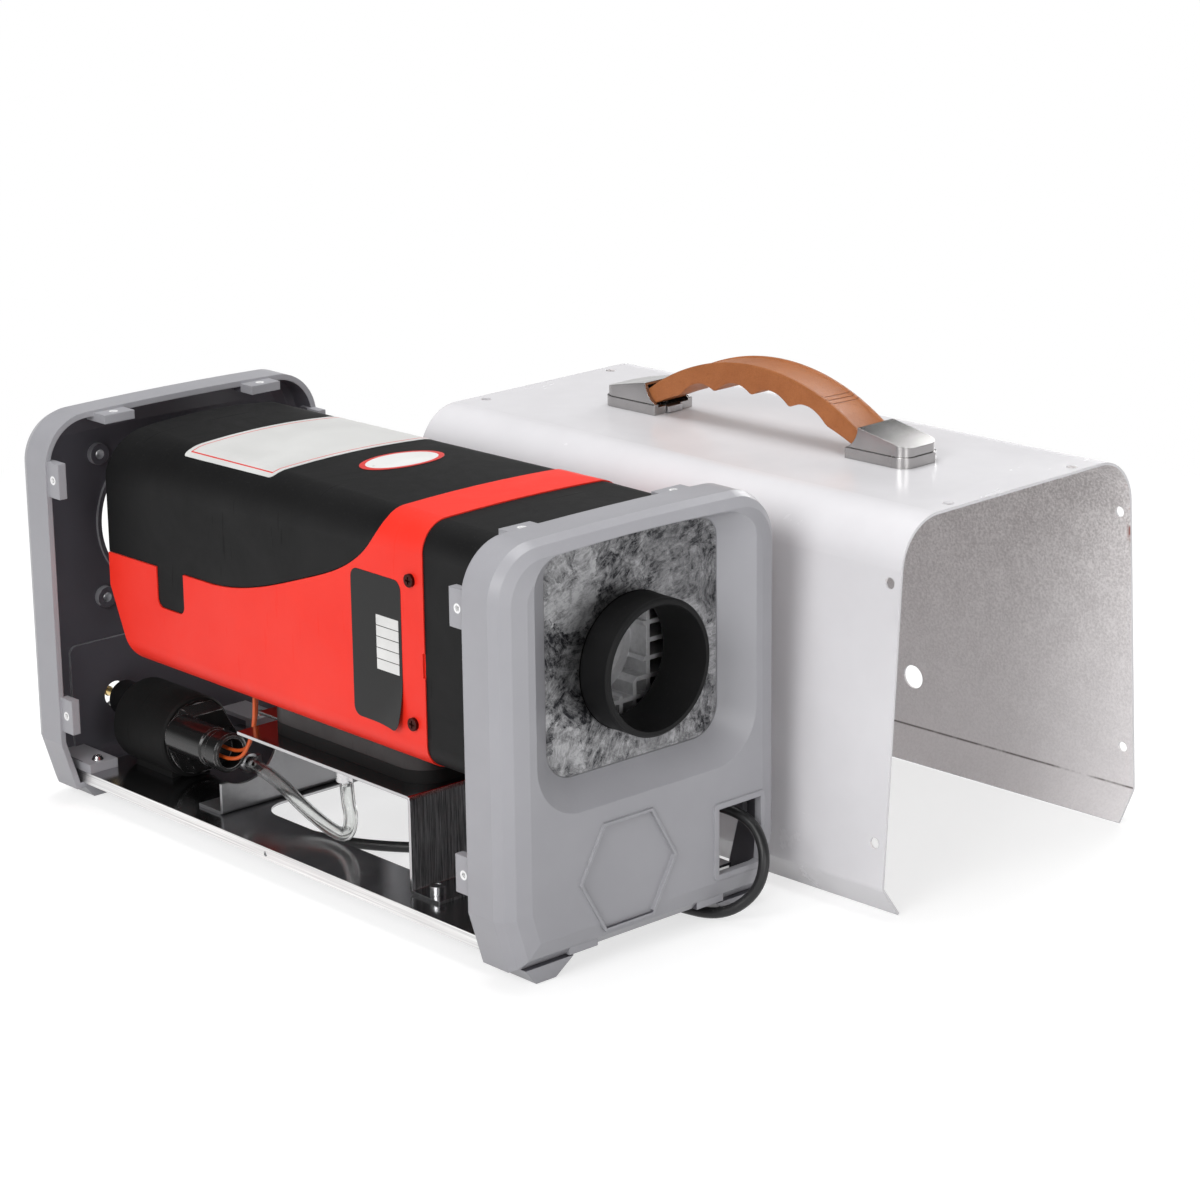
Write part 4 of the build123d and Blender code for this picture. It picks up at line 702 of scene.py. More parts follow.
def zinc(name, dark, calm, light, gloss, sheet, contrast, lines, share, depth):
    """Galvanised sheet: feathered spangle with calmer patches, rolling lines and bright edges."""
    material, tree, shader, coords = start_finish(name, Metallic=1.0)
    crystals = place_group(tree, spangle, Vector=coords, Sheet=sheet)
    rolled = place_group(tree, brushed, Vector=coords, Along=lines)
    marks = place_group(tree, handling, Vector=coords, Scale=38.0)
    edges = place_group(tree, edge_wear_and_highlight, Vector=coords, Radius=0.0003)
    tone = span(tree, crystals["Tone"], SPANGLE_MIDDLE - contrast, SPANGLE_MIDDLE + contrast)
    tone = times_plus(tree, tone, 1.0 - share, times(tree, rolled["Lines"], share))
    colour = blend_colours(tree, tone, dark, light)
    colour = touch(tree, crystals["Calm"], 0.75, colour, calm)
    colour = touch(tree, edges["Edge"], 0.7, colour, (0.80, 0.80, 0.80))
    cloudy = times_plus(tree, marks["Smear"], 0.6, times(tree, tone, 0.4))
    rough = span(tree, cloudy, 0.25, 0.75, *gloss)
    close_finish(tree, shader, colour, rough, crystals["Height"], edges["Normal"], depth)
    return material


finishes["zinc_sheet"] = zinc("dull_spangle", (0.24, 0.24, 0.25), (0.34, 0.34, 0.35), (0.48, 0.48, 0.49),
                              (0.34, 0.50), (0.0, 0.0, 1.0), 0.25, (700.0, 30.0, 700.0), 0.35, 0.00001)
outlet_zinc = zinc("bright_spangle", (0.010, 0.010, 0.013), (0.120, 0.120, 0.125), (0.42, 0.42, 0.43),
                   (0.30, 0.46), (0.0, 1.0, 0.0), 0.095, (300.0, 30.0, 300.0), 0.05, 0.00002)
rolled_zinc = zinc("rolled_sheet", (0.42, 0.42, 0.43), (0.50, 0.50, 0.51), (0.58, 0.58, 0.59),
                   (0.10, 0.24), (0.0, 0.0, 1.0), 0.40, (1400.0, 14.0, 14.0), 0.60, 0.000003)

# %% [markdown]
# ## Sheet edges, and painted shade on the casting foot and the screws
# The base's side flanges and the deck's front leg were brushed after cutting, along their own length,
# so they are rougher and lighter than the mirror-like tops. The face's normal tells them apart. The
# exchanger's foot below the casing is painted near black as painted shade under the casing, and the
# casing's screws are painted dark red as painted shade in their holes.

# %% Flanks, foot and screws
FOOT_LINE = (0.0860, 0.0880)   # heights between which the painted shade on the foot fades in
RAIL_TONES = ((0.62, 0.62, 0.62), (0.98, 0.98, 0.97))
LEG_TONES = ((0.14, 0.14, 0.15), (0.80, 0.80, 0.81))
CAST_METALLIC = 0.45           # a sand-cast skin scatters more light than a machined one


def brush_flanks(material, axis, along, tones, gloss):
    """Lighter, rougher brushed tone on a sheet's faces that look along an axis."""
    tree = material.node_tree
    shader = tree.nodes["Principled BSDF"]
    coords = add_node(tree, "ShaderNodeTexCoord").outputs["Object"]
    flank = above(tree, unsigned(tree, axes_of(tree, true_normal(tree))[axis]), 0.5)
    streaks = place_group(tree, brushed, Vector=coords, Along=along)
    tone = two_tones(tree, streaks["Lines"], *tones, 0.34, 0.66)
    was_colour = shader.inputs["Base Color"].links[0].from_socket
    was_rough = shader.inputs["Roughness"].links[0].from_socket
    join(tree, blend_colours(tree, flank, was_colour, tone), shader.inputs["Base Color"])
    rough = mix_values(tree, flank, was_rough, span(tree, streaks["Cloud"], 0.3, 0.7, *gloss))
    join(tree, rough, shader.inputs["Roughness"])


deck_zinc = rolled_zinc.copy()
deck_zinc.name = "rolled_deck"
brush_flanks(rolled_zinc, "X", (900.0, 9.0, 1300.0), RAIL_TONES, (0.30, 0.48))
brush_flanks(deck_zinc, "Y", (1900.0, 1900.0, 55.0), LEG_TONES, (0.36, 0.60))

casting_with_painted_shade = finishes["cast_aluminium"].copy()
casting_with_painted_shade.name = "casting_with_painted_shade"
tree = casting_with_painted_shade.node_tree
shader = tree.nodes["Principled BSDF"]
# painted shade: below the foot line the casting is near black and not metallic
clear_of_painted_shade = span(tree, axes_of(tree, add_node(tree, "ShaderNodeTexCoord").outputs["Object"])["Z"], *FOOT_LINE)
cast_colour = shader.inputs["Base Color"].links[0].from_socket
join(tree, blend_colours(tree, clear_of_painted_shade, (0.014, 0.010, 0.010), cast_colour), shader.inputs["Base Color"])
join(tree, times(tree, clear_of_painted_shade, CAST_METALLIC), shader.inputs["Metallic"])

# painted shade: the screws are dark red, standing in for the shade in the holes they sit in
dark_screws = metal("screws_in_painted_shade", (0.050, 0.012, 0.010), (0.090, 0.022, 0.018), (0.16, 0.05, 0.04),
                    (0.40, 0.55), along=(500.0, 500.0, 500.0))
print("flanks", rolled_zinc.name, deck_zinc.name)

# %% [markdown]
# ## Grey trays
# The end trays are silver grey. Their inner faces are painted darker: painted shade for the shade that falls
# inside the trays.
# A point is inside where its face looks back towards the casing, or where a side wall near the tray's
# border looks at the tray's middle. Only points beyond the rim count, so rim and screw tabs stay light.

# %% Tray finish
TRAY_MIDDLE_Y = 0.160
TRAY_MIDDLE_Z = 0.100
RIM_Y = 0.1508
BORDER_X = 0.068
BORDER_Z = (0.098, 0.080)      # middle height, and how far from it the border begins
FEET_TOP = 0.008
HOLE_PLANE = 0.1465            # the screw tabs' holes, round whose rims a bright ring is painted as a highlight
TAB_TOP_X = 0.043
TAB_SIDE_Z = (0.0465, 0.1624)
HOLE_HIGHLIGHT_RING = 0.0015

grey_tray, tree, shader, coords = start_finish("grey_tray", Specular_IOR_Level=0.4)
grained = place_group(tree, moulded_grain, Vector=coords, Scale=1200.0)
marks = place_group(tree, handling, Vector=coords, Scale=16.0)
edges = place_group(tree, edge_wear_and_highlight, Vector=coords, Radius=0.0007)
mirrored = axes_of(tree, vector_math(tree, "ABSOLUTE", coords)[0])
place = axes_of(tree, coords)
normal = axes_of(tree, true_normal(tree))
above_middle = minus(tree, place["Z"], TRAY_MIDDLE_Z)
faces_out = times(tree, normal["Y"], compute(tree, "SIGN", place["Y"]))
along_y = times(tree, minus(tree, mirrored["Y"], TRAY_MIDDLE_Y), faces_out)
outward = times_plus(tree, place["X"], normal["X"], along_y)
outward = times_plus(tree, above_middle, normal["Z"], outward)
border_height = unsigned(tree, minus(tree, place["Z"], BORDER_Z[0]))
near_border = larger(tree, above(tree, mirrored["X"], BORDER_X),
                     above(tree, border_height, BORDER_Z[1]))
side_wall = times(tree, below(tree, outward, 0.0), below(tree, faces_out, 0.05))
inside = larger(tree, times(tree, side_wall, near_border), below(tree, faces_out, -0.3))
inside = times(tree, inside, above(tree, mirrored["Y"], RIM_Y))
inside = times(tree, inside, above(tree, place["Z"], FEET_TOP))
outer = two_tones(tree, grained["Tone"], (0.295, 0.293, 0.314), (0.330, 0.328, 0.350))
# painted shade: the darker tone laid on the trays' inner faces
inner = two_tones(tree, grained["Tone"], (0.070, 0.067, 0.080), (0.088, 0.084, 0.099))
colour = blend_colours(tree, inside, outer, inner)
colour = touch(tree, edges["Edge"], 0.35, colour, (0.50, 0.50, 0.53))
off_plane = minus(tree, mirrored["Y"], HOLE_PLANE)
off_plane = times(tree, off_plane, off_plane)
off_top = minus(tree, mirrored["X"], TAB_TOP_X)
side_height = unsigned(tree, minus(tree, place["Z"], sum(TAB_SIDE_Z) / 2))
off_side = minus(tree, side_height, (TAB_SIDE_Z[1] - TAB_SIDE_Z[0]) / 2)
# painted highlight: a near-white ring round each screw tab's hole
for offset in (off_top, off_side):
    reach = compute(tree, "SQRT", times_plus(tree, offset, offset, off_plane))
    ring = span(tree, unsigned(tree, minus(tree, reach, HOLE_HIGHLIGHT_RING)), HOLE_HIGHLIGHT_RING * 0.55, HOLE_HIGHLIGHT_RING * 0.25)
    colour = blend_colours(tree, ring, colour, (0.86, 0.86, 0.86))
colour = touch(tree, marks["Dust"], 0.06, colour, DUST)
close_finish(tree, shader, colour, smeared(tree, marks, (0.30, 0.42)), grained["Height"],
             edges["Normal"], 0.00002)
finishes["grey_abs"] = grey_tray

# %% [markdown]
# ## White cover
# The sheet cover is powder coated gloss white outside. Inside it was only misted: bare grey metal with
# a coarse speckle of white, and reddish primer along a few edges. The inner side is told apart as on
# the trays, here by the direction to a line along the cover's middle, in the cover's own turned frame.

# %% Cover finish
COVER_PLACE = (0.184, -0.2137, 0.03457)
COVER_YAW = math.radians(2.4)
COVER_CORE_Z = 0.055
COVER_MIDDLE_Y = 0.147
CREASE_Z = -0.0195
CREASE_HALF = 0.0007
MIST_HEIGHTS = (0.115, -0.020)     # the mist gets thicker from the top down
PRIMER_FROM_MIDDLE = (0.1505, 0.1528)
PRIMER_HEIGHTS = (0.096, 0.104)

white_cover, tree, shader, coords = start_finish("white_cover", Specular_IOR_Level=0.5)
local = mapped(tree, coords, "TEXTURE", Location=COVER_PLACE, Rotation=(0.0, 0.0, COVER_YAW))
place = axes_of(tree, local)
normal = axes_of(tree, mapped(tree, true_normal(tree), "VECTOR", Rotation=(0.0, 0.0, -COVER_YAW)))
upward = times(tree, minus(tree, place["Z"], COVER_CORE_Z), normal["Z"])
outward = times_plus(tree, place["X"], normal["X"], upward)
inside = below(tree, outward, -0.0005)
marks = place_group(tree, handling, Vector=coords, Scale=14.0)
edges = place_group(tree, edge_wear_and_highlight, Vector=coords, Radius=0.0006)
coat = place_group(tree, moulded_grain, Vector=coords, Scale=500.0)
outer = two_tones(tree, coat["Tone"], (0.65, 0.64, 0.66), (0.71, 0.70, 0.72))
speckle = noise(tree, coords, 760.0, 3.0, 0.75)
blotch = noise(tree, coords, 60.0, 4.0, 0.6)
misted = span(tree, times_plus(tree, blotch, 0.30, speckle), 0.50, 0.80)
inner = blend_colours(tree, misted, (0.50, 0.47, 0.47), (0.86, 0.83, 0.83))
thicker = span(tree, place["Z"], *MIST_HEIGHTS, 0.0, 0.75)
inner = blend_colours(tree, thicker, inner, (0.92, 0.89, 0.90))
near_end = span(tree, unsigned(tree, minus(tree, place["Y"], COVER_MIDDLE_Y)), *PRIMER_FROM_MIDDLE)
near_corner = span(tree, place["Z"], *PRIMER_HEIGHTS)
patches = span(tree, noise(tree, coords, 60.0, 4.0, 0.7), 0.50, 0.60)
inner = touch(tree, times(tree, near_end, near_corner), patches, inner, (0.25, 0.06, 0.04))
crease = span(tree, unsigned(tree, minus(tree, place["Z"], CREASE_Z)), CREASE_HALF, 0.0)
broken = span(tree, noise(tree, coords, 38.0, 4.0, 0.7), 0.38, 0.56)
inner = touch(tree, crease, broken, inner, (0.05, 0.025, 0.022))
colour = blend_colours(tree, inside, outer, inner)
colour = touch(tree, edges["Edge"], 0.25, colour, (0.86, 0.86, 0.87))
inner_rough = span(tree, speckle, 0.3, 0.7, 0.38, 0.62)
rough = mix_values(tree, inside, smeared(tree, marks, (0.16, 0.28)), inner_rough)
relief = times_plus(tree, times(tree, inside, misted), 3.0, coat["Height"])
close_finish(tree, shader, colour, rough, relief, edges["Normal"], 0.000012)
finishes["white_paint"] = white_cover

# %% [markdown]
# ## Hose and strap finishes
# The hose is clear, so it keeps a plain transmission and only its tone and gloss vary. The strap is
# moulded rubber with a leather grain, darker in its pores, and has three fine grooves near one end.

# %% Soft finishes
clear_hose, tree, shader, coords = start_finish("clear_hose", Transmission_Weight=1.0, IOR=1.42)
marks = place_group(tree, handling, Vector=coords, Scale=60.0)
edges = place_group(tree, edge_wear_and_highlight, Vector=coords, Radius=0.0002)
colour = two_tones(tree, marks["Smear"], (0.86, 0.87, 0.86), (0.95, 0.96, 0.95), 0.3, 0.7)
close_finish(tree, shader, colour, smeared(tree, marks, (0.06, 0.16)), noise(tree, coords, 700.0, 3.0, 0.6),
             edges["Normal"], 0.00002)
finishes["clear_hose"] = clear_hose

GROOVE_MIDDLE = -0.1135         # three fine grooves across the strap's top, near its front end
GROOVE_PITCH = 0.0026
GROOVE_HALF = 0.00035
GROOVE_DEPTH = 6.0              # as a multiple of the grain's depth

brown_grip, tree, shader, coords = start_finish("brown_grip", Specular_IOR_Level=0.35)
pores = add_node(tree, "ShaderNodeTexVoronoi", feature="DISTANCE_TO_EDGE")
join(tree, coords, pores.inputs["Vector"])
pores.inputs["Scale"].default_value = 900.0
creases = span(tree, pores.outputs["Distance"], 0.0, 0.12)
marks = place_group(tree, handling, Vector=coords, Scale=26.0)
edges = place_group(tree, edge_wear_and_highlight, Vector=coords, Radius=0.0006)
tone = noise(tree, coords, 45.0, 5.0, 0.65)
colour = two_tones(tree, tone, (0.32, 0.105, 0.030), (0.40, 0.140, 0.045), 0.33, 0.67)
colour = touch(tree, minus(tree, 1.0, creases), 0.35, colour, (0.20, 0.06, 0.018))
colour = touch(tree, edges["Edge"], 0.4, colour, (0.50, 0.20, 0.075))
away = unsigned(tree, minus(tree, axes_of(tree, coords)["Y"], GROOVE_MIDDLE))
groove = span(tree, compute(tree, "PINGPONG", away, GROOVE_PITCH / 2), GROOVE_HALF, 0.0)
groove = times(tree, groove, below(tree, away, GROOVE_PITCH * 1.5))
groove = times(tree, groove, above(tree, axes_of(tree, true_normal(tree))["Z"], 0.5))
colour = blend_colours(tree, groove, colour, (0.12, 0.035, 0.012))
relief = minus(tree, creases, times(tree, groove, GROOVE_DEPTH))
close_finish(tree, shader, colour, smeared(tree, marks, (0.42, 0.58)), relief,
             edges["Normal"], 0.00003)
finishes["brown_grip"] = brown_grip

# %% Give every rigid piece its finish
slot_of = {part["node"]: part["material_slot"] for part in frame["record"]["subparts"]}
own_finish = {"outlet_plate": outlet_zinc, "base_plate": rolled_zinc, "heater_deck": deck_zinc,
              "heat_exchanger": casting_with_painted_shade, "shell_screws": dark_screws,
              "pump_body": finishes["glossy_nylon"], "pump_head": finishes["glossy_nylon"]}
for name, piece in nodes.items():
    finish = own_finish.get(name, finishes[slot_of[name]])
    for place in piece.material_slots:
        place.material = finish
    if not piece.material_slots:
        paint(piece, finish)
print("finished", len(nodes), "rigid pieces")

# %% [markdown]
# ## Fuel hose and pump wires
# The clear hose runs from the pump down into the cut-out and sharply up to the burner's fuel pipe. It
# is drawn as a line, made a mesh, and given its wall inwards, so the bore shows at both ends. The two
# orange wires leave the pump's connector and rise into the casing.

# %% Line to mesh


def line_to_mesh(line):
    """Turn a curve object into a mesh object in place."""
    activate(line)
    bpy.ops.object.convert(target="MESH")
    piece = bpy.context.object
    bpy.ops.object.shade_smooth()
    return piece


def apply_modifier(piece, name, kind, **values):
    """Add a modifier, set it and apply it."""
    activate(piece)
    modifier = piece.modifiers.new(name, kind)
    for key, value in values.items():
        setattr(modifier, key, value)
    bpy.ops.object.modifier_apply(modifier=modifier.name)


# %% Fuel hose
HOSE_RADIUS = 3.25
HOSE_WALL = 1.3
HOSE_ROUTE = [(-36.0, 67.4, 34.4), (-36.0, 45.0, 34.4), (-38.5, 12.0, 22.6), (-41.5, -19.0, 18.4),
              (-41.2, -24.0, 29.5), (-40.0, -19.0, 38.5), (-40.0, -19.0, 55.5)]
fuel_line = smooth_line("fuel_line", HOSE_ROUTE, HOSE_RADIUS, caps=False)
fuel_line.data.resolution_u = 14
fuel_line.data.bevel_resolution = 7
print("fuel hose length", round(line_length(fuel_line), 4))
fuel_line = line_to_mesh(fuel_line)
apply_modifier(fuel_line, "wall", "SOLIDIFY", thickness=HOSE_WALL * MM, offset=-1.0, use_rim=True)
paint(fuel_line, clear_hose)
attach(fuel_line, "heater")
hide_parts("fuel_hose")

# %% Pump wires
WIRE_RADIUS = 0.9
WIRE_ROUTES = [
    [(-49.9, 65.9, 40.5), (-50.3, 48.0, 39.5), (-44.5, 43.8, 54.5), (-41.5, 45.8, 70.5), (-41.5, 45.8, 79.5)],
    [(-46.1, 65.9, 43.5), (-46.5, 48.0, 42.5), (-41.5, 46.2, 57.5), (-38.5, 48.2, 70.5), (-38.5, 48.2, 79.5)]]
for index, route in enumerate(WIRE_ROUTES):
    wire = line_to_mesh(smooth_line(f"pump_lead_{index}", route, WIRE_RADIUS))
    paint(wire, finishes["orange_wire"])
    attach(wire, "heater")
    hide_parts("pump_wires")

# %% [markdown]
# ## Strap grip
# The carrying strap is one moulding: an arch, wide and flat above with a raised line along both
# edges, and four finger hollows below. A grid seen from the side gets the arch's shape, is extruded to
# the strap's width, and its upper faces are inset and sunk between the edge lines.

# %% Strap grip: side view
GRIP_HALF = 10.0
GRIP_APEX = 33.5
GRIP_ARCH_END = (68.4, 10.9)
GRIP_UNDER_END = (64.6, 4.8)
GRIP_HALFWAY_END = (66.5, 8.0)
GRIP_THICKNESS = 14.0
GRIP_STATIONS = 96
GRIP_LAYERS = 5
HANDLE_MID = 146.5
COVER_TOP = 144.0
FINGER_PITCH = 23.7
FINGER_DEPTH = 4.0
FINGER_HALF = 11.0


def arc_height(y, end, apex):
    """Height of a circular arc through (+-end y, end z) and the apex at y 0."""
    rise = apex - end[1]
    radius = (end[0] ** 2 + rise ** 2) / (2 * rise)
    return apex - radius + math.sqrt(radius ** 2 - y ** 2)


def finger_cut(y):
    """How far the finger hollows rise into the underside at y."""
    cut = 0.0
    for step in range(-2, 2):
        away = abs(y - (step + 0.5) * FINGER_PITCH)
        cut = max(cut, FINGER_DEPTH * (1 - (away / FINGER_HALF) ** 2))
    return cut


deselect()
bpy.ops.mesh.primitive_grid_add(x_subdivisions=GRIP_STATIONS, y_subdivisions=GRIP_LAYERS, size=2.0)
grip = bpy.context.object
grip.name = "strap_grip"
for vertex in grip.data.vertices:
    along, level = vertex.co.x, (vertex.co.y + 1) / 2
    upper_y, lower_y = along * GRIP_ARCH_END[0], along * GRIP_UNDER_END[0]
    upper = Vector((-GRIP_HALF, upper_y, arc_height(upper_y, GRIP_ARCH_END, GRIP_APEX)))
    under_z = arc_height(lower_y, GRIP_UNDER_END, GRIP_APEX - GRIP_THICKNESS) + finger_cut(lower_y)
    vertex.co = Vector((-GRIP_HALF, lower_y, under_z)).lerp(upper, level) * MM
edit_all(grip)
bpy.ops.mesh.extrude_region_move(TRANSFORM_OT_translate={"value": (2 * GRIP_HALF * MM, 0, 0)})
bpy.ops.mesh.select_all(action="SELECT")
bpy.ops.mesh.normals_make_consistent(inside=False)
set_mode("OBJECT")
print("strap side view", len(grip.data.vertices))

# %% Strap grip: edge lines and rounding


def select_faces(piece, test):
    """Select the faces that pass a test on centre and normal; returns how many."""
    activate(piece)
    set_mode("EDIT")
    bpy.ops.mesh.select_mode(type="FACE")
    bpy.ops.mesh.select_all(action="DESELECT")
    set_mode("OBJECT")
    count = 0
    for face in piece.data.polygons:
        face.select = test(face.center, face.normal)
        count += face.select
    set_mode("EDIT")
    return count


def on_top(centre, normal):
    """Whether a face of the strap belongs to its upper side."""
    halfway = arc_height(centre.y / MM, GRIP_HALFWAY_END, GRIP_APEX - 5) * MM
    return abs(normal.x) < 0.2 and normal.z > 0.3 and centre.z > halfway


EDGE_LINE = 1.5
EDGE_SLOPE = 0.35
EDGE_RISE = 0.55
EDGE_ROUND = 0.9
found = select_faces(grip, on_top)
bpy.ops.mesh.inset(thickness=EDGE_LINE * MM, use_boundary=True)
bpy.ops.mesh.inset(thickness=EDGE_SLOPE * MM, use_boundary=True)
bpy.ops.transform.translate(value=(0, 0, -EDGE_RISE * MM))
set_mode("OBJECT")
print("top faces", found)
apply_modifier(grip, "soft_edges", "BEVEL", width=EDGE_ROUND * MM, segments=3, limit_method="ANGLE",
               angle_limit=math.radians(50))
activate(grip)
bpy.ops.object.shade_smooth_by_angle(angle=math.radians(35))

# %% Strap grip: onto the cover
grip.matrix_world = (Matrix.Translation(COVER_PLACE) @ Matrix.Rotation(COVER_YAW, 4, "Z")
                     @ Matrix.Translation(Vector((0, HANDLE_MID, COVER_TOP)) * MM))
activate(grip)
settle()
paint(grip, brown_grip)
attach(grip, "cover")
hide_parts("handle_grip")
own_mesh(grip)
print("strap box", [[round(v, 4) for v in c] for c in
                    ((min(v.co[i] for v in grip.data.vertices) for i in range(3)),
                     (max(v.co[i] for v in grip.data.vertices) for i in range(3)))])

# %% [markdown]
# ## Stickers
# Three stickers are on the casing. Ours are blank: a black plate with five empty pale fields, whose
# lower corner has come loose, and two white ones on the black top, one with a thin red frame and one
# oval with a red rim. The top ones are flat sheets wrapped down onto the crowned moulding.

# %% Sticker finishes
RIM_RED = (0.62, 0.035, 0.03)
FRAME_STICKER = ((1.5, 51.0), (49.5, 33.5))      # middle and half sizes on the black top
FRAME_INSET = 3.0
FRAME_LINE_HALF = 0.35
OVAL_STICKER = ((5.0, -9.5), (22.5, 12.5))
OVAL_RIM = 0.86                                  # share of the radius where the red rim begins


def film(name, base, variation, gloss, red_mask=None, specular=0.5, depth=0.00001):
    """Printed film; a function of tree and coordinates may say where it is red."""
    material, tree, shader, coords = start_finish(name, Specular_IOR_Level=specular)
    marks = place_group(tree, handling, Vector=coords, Scale=30.0)
    edges = place_group(tree, edge_wear_and_highlight, Vector=coords, Radius=0.0002)
    colour = two_tones(tree, marks["Smear"], base, variation, 0.3, 0.7)
    if red_mask:
        colour = blend_colours(tree, red_mask(tree, coords), colour, RIM_RED)
    close_finish(tree, shader, colour, smeared(tree, marks, gloss), noise(tree, coords, 220.0, 3.0, 0.5),
                 edges["Normal"], depth)
    return material


def frame_mask(tree, coords):
    """A thin line that runs round the sticker, just inside its border."""
    place = axes_of(tree, coords)
    past = [minus(tree, unsigned(tree, minus(tree, place[axis], middle * MM)), half * MM)
            for axis, middle, half in zip("XY", *FRAME_STICKER)]
    from_line = compute(tree, "ADD", larger(tree, *past), FRAME_INSET * MM)
    return below(tree, unsigned(tree, from_line), FRAME_LINE_HALF * MM)


def oval_mask(tree, coords):
    """The outer part of the oval."""
    middle, radii = ([value * MM for value in pair] for pair in OVAL_STICKER)
    round_place = mapped(tree, coords, "TEXTURE", Location=(*middle, 0.0), Scale=(*radii, 1000.0))
    return above(tree, vector_math(tree, "LENGTH", round_place)["Value"], OVAL_RIM)


framed_film = film("white_film_framed", (0.55, 0.55, 0.54), (0.62, 0.62, 0.61), (0.30, 0.44), frame_mask)
oval_film = film("white_film_oval", (0.66, 0.66, 0.65), (0.74, 0.74, 0.73), (0.30, 0.44), oval_mask)
plate_film = film("black_film", (0.008, 0.008, 0.008), (0.011, 0.011, 0.011), (0.30, 0.42), specular=0.25,
                  depth=0.00002)
field_film = film("pale_fields", (0.62, 0.62, 0.61), (0.72, 0.72, 0.71), (0.35, 0.48))
print("films", framed_film.name, oval_film.name, plate_film.name, field_film.name)

# %% Stickers on the top
FILM = 0.18
STICKER_DROP = 0.200           # height in metres from which the flat sheets are lowered
FRAME_CORNER = 2.4
OVAL_INSET = 2.5


def lay_on_shell(piece, film_material):
    """Wrap a flat sheet down onto the black moulding and give it its thickness."""
    apply_modifier(piece, "wrap", "SHRINKWRAP", target=nodes["upper_shell"], wrap_method="PROJECT",
                   use_project_z=True, use_negative_direction=True, use_positive_direction=False,
                   use_project_x=False, use_project_y=False, offset=0.03 * MM)
    apply_modifier(piece, "film", "SOLIDIFY", thickness=FILM * MM, offset=1.0, use_rim=True)
    paint(piece, film_material)
    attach(piece, "heater")
    heights = [v.co.z for v in piece.data.vertices]
    print(piece.name, "z", round(min(heights), 4), round(max(heights), 4))


deselect()
middle, half = (Vector((*pair, 0.0)) * MM for pair in FRAME_STICKER)
bpy.ops.mesh.primitive_grid_add(x_subdivisions=28, y_subdivisions=18, size=1.0,
                                location=(middle.x, middle.y, STICKER_DROP))
framed = bpy.context.object
framed.name = "framed_sticker"
framed.scale = (2 * half.x, 2 * half.y, 1.0)
settle()
edit_all()
bpy.ops.mesh.select_all(action="DESELECT")
set_mode("OBJECT")
for vertex in framed.data.vertices:
    away = vertex.co - middle
    vertex.select = abs(abs(away.x) - half.x) < 1e-5 and abs(abs(away.y) - half.y) < 1e-5
set_mode("EDIT")
bpy.ops.mesh.bevel(affect="VERTICES", offset=FRAME_CORNER * MM, segments=5)
set_mode("OBJECT")
lay_on_shell(framed, framed_film)

deselect()
middle, radii = (Vector((*pair, 0.0)) * MM for pair in OVAL_STICKER)
bpy.ops.mesh.primitive_circle_add(vertices=64, radius=1.0, fill_type="NGON",
                                  location=(middle.x, middle.y, STICKER_DROP))
oval = bpy.context.object
oval.name = "oval_sticker"
oval.scale = (radii.x, radii.y, 1.0)
settle()
edit_all()
for ring in range(3):
    bpy.ops.mesh.inset(thickness=OVAL_INSET * MM)
bpy.ops.mesh.poke()
set_mode("OBJECT")
lay_on_shell(oval, oval_film)

# %% Black plate with its loose corner
PLATE_Y = (-83.5, -49.5)
PLATE_Z = (89.5, 156.5)
CASING_X = -57.5
PLATE_CORNER = 4.5
PEEL_REACH = 17.0
PEEL_LIFT = 4.2
PEEL_STEP = 2.4                # cuts along which the loose corner bends
LEVEL_STEP = 9.0
STUCK = 0.05                   # gap to the casing where the plate is stuck on

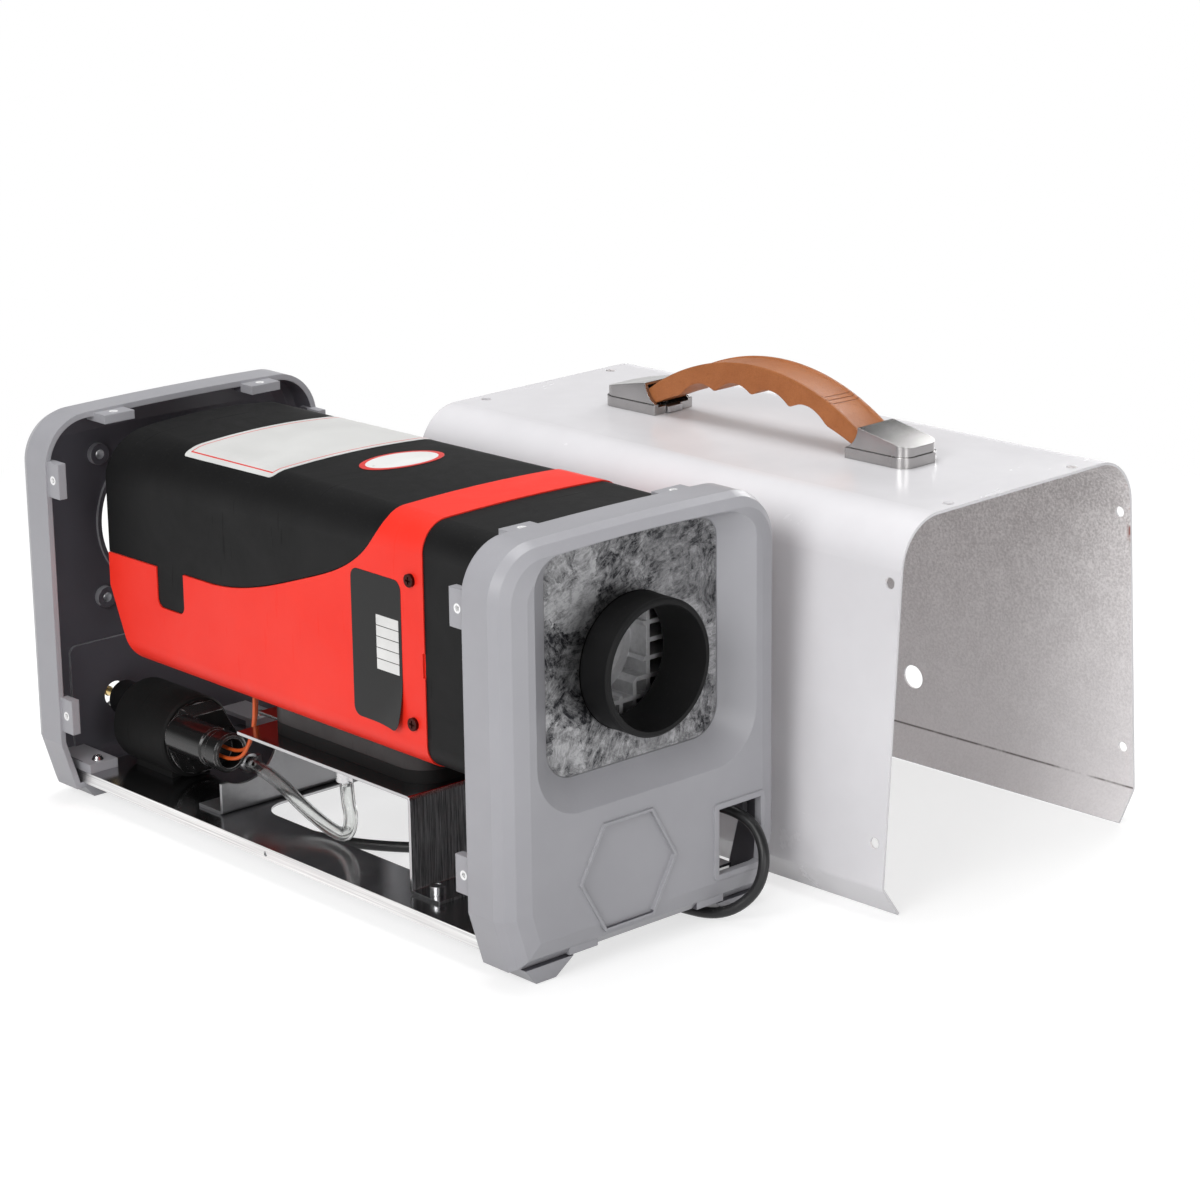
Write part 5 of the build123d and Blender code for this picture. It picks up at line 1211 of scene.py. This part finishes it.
deselect()
bpy.ops.mesh.primitive_plane_add(size=1.0, rotation=(0, -math.pi / 2, 0),
                                 location=(CASING_X * MM, sum(PLATE_Y) / 2 * MM, sum(PLATE_Z) / 2 * MM))
plate = bpy.context.object
plate.name = "black_sticker"
plate.scale = ((PLATE_Z[1] - PLATE_Z[0]) * MM, (PLATE_Y[1] - PLATE_Y[0]) * MM, 1.0)
settle()
edit_all()
bpy.ops.mesh.bevel(affect="VERTICES", offset=PLATE_CORNER * MM, segments=8)
peel_corner = Vector((0, PLATE_Y[0] * MM, PLATE_Z[0] * MM))
peel_line = Vector((0, 0.75, 0.66)).normalized()
for step in range(1, 12):
    bpy.ops.mesh.select_all(action="SELECT")
    bpy.ops.mesh.bisect(plane_co=peel_corner + peel_line * (step * PEEL_STEP * MM), plane_no=peel_line)
for level in range(1, 7):
    bpy.ops.mesh.select_all(action="SELECT")
    bpy.ops.mesh.bisect(plane_co=(0, 0, (PLATE_Z[0] + level * LEVEL_STEP) * MM), plane_no=(0, 0, 1))
set_mode("OBJECT")
for vertex in plate.data.vertices:
    inward = (vertex.co - peel_corner).dot(peel_line) / MM
    lift = max(0.0, 1 - inward / PEEL_REACH) ** 2 * PEEL_LIFT
    vertex.co.x -= (STUCK + lift) * MM
apply_modifier(plate, "film", "SOLIDIFY", thickness=FILM * MM, offset=0.0, use_rim=True)
edit_all(plate)
bpy.ops.mesh.normals_make_consistent(inside=False)
set_mode("OBJECT")
bpy.ops.object.shade_smooth_by_angle(angle=math.radians(30))
paint(plate, plate_film)
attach(plate, "heater")

# %% Empty fields on the black plate
FIELD_Y = (-81.6, -66.4)
FIELD_TOP = 138.6
FIELD_HEIGHT = 4.65
FIELD_STEP = 4.98
FIELD_COUNT = 5
FIELD_THICKNESS = 0.10

deselect()
field_middle = Vector((CASING_X - STUCK - FILM / 2 - FIELD_THICKNESS / 2, sum(FIELD_Y) / 2,
                       FIELD_TOP - FIELD_HEIGHT / 2)) * MM
bpy.ops.mesh.primitive_cube_add(size=1.0, location=field_middle)
field = bpy.context.object
field.name = "field_0"
field.scale = Vector((FIELD_THICKNESS, FIELD_Y[1] - FIELD_Y[0], FIELD_HEIGHT)) * MM
settle()
apply_modifier(field, "soft_edges", "BEVEL", width=0.04 * MM, segments=2)
paint(field, field_film)
for index in range(FIELD_COUNT):
    piece = field
    if index:
        piece = field.copy()
        piece.data = field.data.copy()
        piece.name = f"field_{index}"
        scene.collection.objects.link(piece)
        piece.location.z = -index * FIELD_STEP * MM
        activate(piece)
        settle()
    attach(piece, "heater")
print(FIELD_COUNT, "empty fields")
